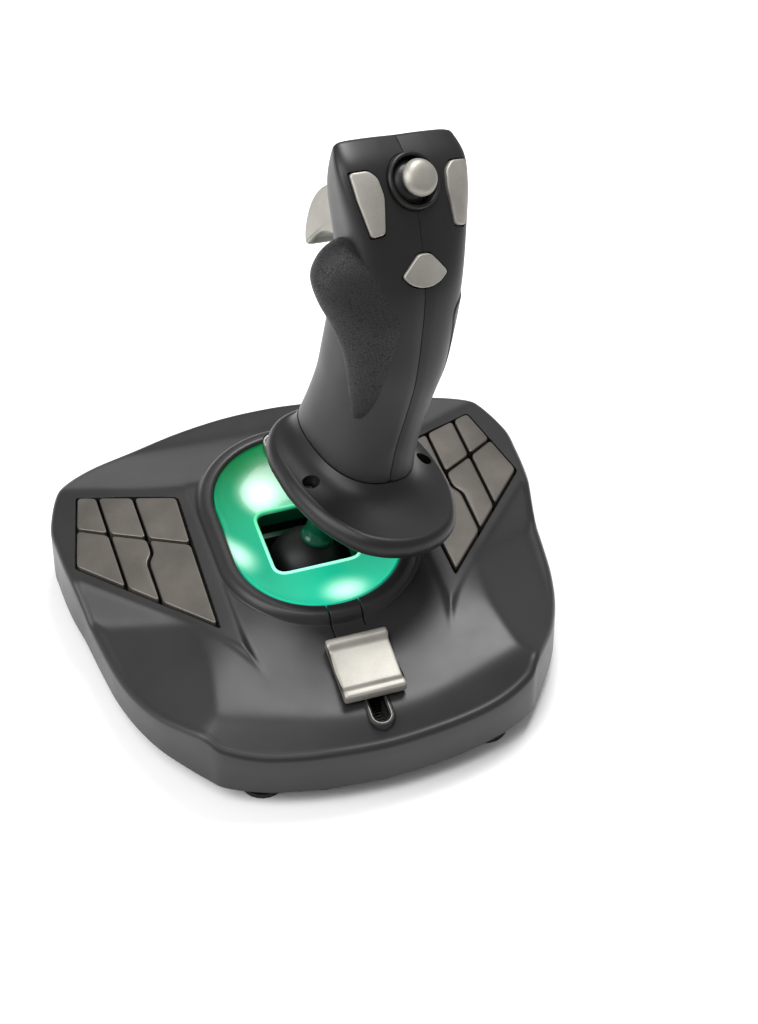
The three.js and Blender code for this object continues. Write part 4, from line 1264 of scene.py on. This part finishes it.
    def thumb_rest(self) -> bpy.types.Object:
        """Builds the soft pad that swells out of the left side for the thumb."""
        rows = catmull([(104, -22.5, 1.5, -18.4), (106, -22, 3, -19), (112, -20.5, 6, -20.5),
                        (121, -18.5, 9, -22.5),
                        (131, -15.5, 11.5, -25.5), (141, -10, 15.5, -30.5), (148, -6.5, 17.5, -35),
                        (155, -3.5, 17, -38), (160, -2, 15.5, -37.5), (165, -1, 13, -35),
                        (168.5, 0, 9, -30),
                        (171, 1, 4, -25), (171.6, 1, 1.5, -23.5)], 64)
        rings = []
        for z, cy, hd, ox in rows:
            t = np.linspace(0, 2 * math.pi, 84, endpoint=False)
            k = np.maximum(-0.3, np.sign(np.cos(t)) * np.abs(np.cos(t)) ** 0.9)
            rings.append(np.column_stack([-12 + (ox + 12) * k, cy + hd * np.sin(t), np.full(len(t), z)]))
        obj = Solid().loft(rings).piece("thumb_pad", self.frame, 75)
        return install(obj, self.finishes.leather, "grip", "soft_grip", "thumb_rest_left")

    def cover(self) -> bpy.types.Object:
        """Builds the plain cover let into the right side."""
        plan = dense(rounded([(17, 30), (-17, 30), (-17, -30), (17, -30)], 7, 6), 1.6)
        frame = self.face((20, -6, 122), (0.93, -0.37, 0), (0, 0, 1))
        rings = self.drape(rounded_rings(plan, -1.2, 0.55, 0.45), frame)
        obj = Solid().loft(rings).piece("grip_side_cover", self.frame, 60)
        return install(obj, self.finishes.grip_black, "grip", "charcoal_shell", "side_cover_right")

    def buttons(self) -> None:
        """Builds the two side paddles and the lower button of the head."""
        for side in Side:
            word = side.name.lower()
            plan = dense(rounded(self.paddle_plan(side), 1.6, 6), 1.6)
            rings = self.drape(rounded_rings(plan, -3.4, 1.1, 0.6, 0.15), self.paddle_frame(side))
            obj = Solid().loft(rings).piece(f"paddle_{word}", self.frame, 60)
            install(obj, self.finishes.silver, f"head_button_{word}", "silver_paint", f"head_button_{word}")
        plan = dense(rounded(self.lower_plan, 1.6, 6), 1.6)
        rings = self.drape(rounded_rings(plan, -3.6, 1.0, 0.6, -0.5), self.lower_frame)
        obj = Solid().loft(rings).piece("thumb_key_lower", self.frame, 60)
        install(obj, self.finishes.silver, "head_button_lower", "silver_paint", "head_button_lower")

    def trigger(self) -> bpy.types.Object:
        """Builds the hooked trigger with rounded flanks."""
        plan = [tuple(p) for p in catmull(self.trigger_plan, 96, closed=True)]
        rings = []
        for x, inset in ((-9, 1.7), (-8.85, 1.0), (-8.3, 0.45), (-7.3, 0.1), (-6, 0), (6, 0), (7.3, 0.1),
                         (8.3, 0.45), (8.85, 1.0), (9, 1.7)):
            p = np.array(offset(plan, -inset))
            rings.append(np.column_stack([np.full(len(p), x), p]))
        obj = Solid().loft(rings).piece("finger_trigger", self.frame, 55)
        return install(obj, self.finishes.silver, "trigger", "silver_paint", "trigger")

    def hat(self) -> None:
        """Builds the hat's bezel, cradle and mushroom cap."""
        turn = np.array([(math.cos(t), math.sin(t))
                         for t in np.linspace(0, 2 * math.pi, 72, endpoint=False)])
        frame = self.frame @ self.hat_frame

        def lathe(name: str, profile: Sequence[Sequence[float]], loop: bool = False) -> bpy.types.Object:
            """Turns a profile of radius and height about the hat's axis."""
            return Solid().loft([level(turn * max(r, 0.01), z) for r, z in profile], loop=loop).piece(name,
                                                                                                      frame,
                                                                                                      48)

        bezel = [(9.3, -3), (9.3, 0.6), (9.5, 1.2), (10.0, 1.5), (10.6, 1.4), (11.0, 0.9), (11.1, 0.2),
                 (11.1, -3)]
        install(lathe("hat_collar", bezel, True), self.finishes.grip_black, "grip", "charcoal_shell",
                "hat_bezel")
        cradle = [(2.2, -6), (2.2, -3.5), (7.8, -3.4), (8.3, -2.4), (7.9, -1.2), (6.2, -0.1), (3.6, 0.7),
                  (0.2, 0.85)]
        install(lathe("hat_dish", cradle), self.finishes.charcoal, "hat_cradle", "charcoal_shell",
                "hat_cradle")
        cap = [(0.2, 1.1), (3.2, 1.2), (4.0, 1.9),
               *catmull([(5.4, 2.5), (6.6, 3.3), (7.15, 4.5), (7.0, 5.6),
               (6.2, 7.0), (5.0, 7.8), (3.4, 8.2), (1.8, 8.35), (0.2, 8.4)], 34)]
        install(lathe("hat_mushroom", cap), self.finishes.silver, "hat_cap", "silver_paint", "hat_cap")

    def build(self) -> None:
        """Builds the whole grip."""
        self.shells()
        self.skirt()
        self.thumb_rest()
        self.cover()
        self.buttons()
        self.trigger()
        self.hat()


# -------------------------------------------------------------------- studio
@dataclass
class Studio:
    """A pale floor, soft lights and the camera."""

    centre: Vector
    azimuth: float = -17.6
    elevation: float = 45.0
    distance: float = 1.021
    aside: float = 0.02953
    raised: float = 0.00229
    lens: float = 87.9
    sensor: float = 36.0
    surroundings: float = 0.42

    def floor(self) -> None:
        """Lays the pale floor."""
        mesh = bpy.data.meshes.new("studio_floor")
        mesh.from_pydata([(-6, -6, 0), (6, -6, 0), (6, 6, 0), (-6, 6, 0)], [], [(0, 1, 2, 3)])
        obj = bpy.data.objects.new("studio_floor", mesh)
        bpy.context.scene.collection.objects.link(obj)
        mat, tree, at = start("painted_sweep")
        speck = add_node(tree, "ShaderNodeTexNoise", {"Scale": 40.0}, {"Vector": at})
        tone = add_node(tree, "ShaderNodeMix", {"A": linear("#fafafa"), "B": linear("#fdfdfd")},
                        {"Factor": speck.outputs[0]}, data_type="RGBA")
        finish_surface(tree, {"Roughness": 0.9}, {"Base Color": tone.outputs[2]})
        mesh.materials.append(mat)

    def light(self, name: str, place_at: Sequence[float], size: tuple[float, float], power: float,
              colour: str = "#ffffff") -> None:
        """Hangs a soft box that points at the joystick."""
        data = bpy.data.lights.new(name, "AREA")
        data.shape, data.size, data.size_y = "RECTANGLE", *size
        data.energy, data.color = power, linear(colour)[:3]
        obj = bpy.data.objects.new(name, data)
        obj.location = Vector(place_at)
        aim = Vector((0, 0.01, 0.06)) - obj.location
        obj.rotation_mode = "QUATERNION"
        obj.rotation_quaternion = aim.to_track_quat("-Z", "Y")
        bpy.context.scene.collection.objects.link(obj)

    def build(self) -> None:
        """Sets up the floor, the lights, the surroundings and the camera."""
        self.floor()
        self.light("soft_box_left", (-1.0, -0.1, 0.8), (0.7, 0.9), 11)
        self.light("soft_box_back", (0.33, 0.36, 1.1), (0.5, 0.34), 12)
        self.light("soft_box_top", (-0.4, -0.3, 1.25), (0.6, 0.6), 5)
        # Colours are shown as they are, without a film curve that would lift the dark plastics.
        bpy.context.scene.view_settings.view_transform = "Standard"
        world = bpy.data.worlds.new("studio")
        bpy.context.scene.world = world
        world.use_nodes = True
        back = world.node_tree.nodes["Background"]
        back.inputs["Color"].default_value = (1, 1, 1, 1)
        back.inputs["Strength"].default_value = self.surroundings
        a, e = math.radians(self.azimuth), math.radians(self.elevation)
        toward = Vector((math.sin(a) * math.cos(e), -math.cos(a) * math.cos(e), math.sin(e)))
        right = Vector((math.cos(a), math.sin(a), 0))
        up = toward.cross(right)
        data = bpy.data.cameras.new("camera")
        data.lens, data.sensor_width = self.lens, self.sensor
        cam = bpy.data.objects.new("camera", data)
        m = Matrix((right, up, toward)).transposed().to_4x4()
        m.translation = self.centre + toward * self.distance + right * self.aside + up * self.raised
        cam.matrix_world = m
        bpy.context.scene.collection.objects.link(cam)
        bpy.context.scene.camera = cam


def dress_frame_nodes(frame: dict, finishes: Finishes) -> None:
    """Gives every carried-over node of the frame its finish."""
    by_slot = {"charcoal_shell": finishes.charcoal, "black_shell": finishes.black,
               "gunmetal_paint": finishes.gunmetal,
               "silver_paint": finishes.silver, "green_lens": finishes.lens,
               "rubber_black": finishes.rubber,
               "soft_grip": finishes.leather, "steel": finishes.steel, "board_green": finishes.board}
    for part in frame["record"]["subparts"]:
        dress(frame["nodes"][part["node"]], by_slot[part["material_slot"]])


def main() -> None:
    """Builds the joystick's looks."""
    logging.basicConfig(level=logging.INFO, format="%(name)s: %(message)s")
    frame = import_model()
    joints = {j["name"]: j for j in frame["joints"]}
    pivot = Vector(joints["stick_pitch"]["pos_m"]) * 1000
    shaft = Vector(joints["grip_twist"]["axis"]).normalized()
    across = Vector(joints["trigger_pull"]["axis"]).normalized()
    ring_y = pivot.y
    finishes = Finishes(ring_y=ring_y)
    dress_frame_nodes(frame, finishes)

    base_frame = Matrix.Translation((0, ring_y, 0))
    Base(base_frame, finishes).build()
    lean = Vector(joints["stick_roll"]["axis"]).normalized()
    upright = Matrix((lean.cross(shaft), lean, shaft)).transposed().to_4x4()
    upright.translation = pivot
    Stick(upright, finishes).build()
    turned = Matrix((across, shaft.cross(across), shaft)).transposed().to_4x4()
    turned.translation = pivot
    Grip(turned, finishes).build()
    Studio(Vector((0, ring_y, 44)) * MM).build()
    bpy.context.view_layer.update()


if __name__ == "__main__":
    main()
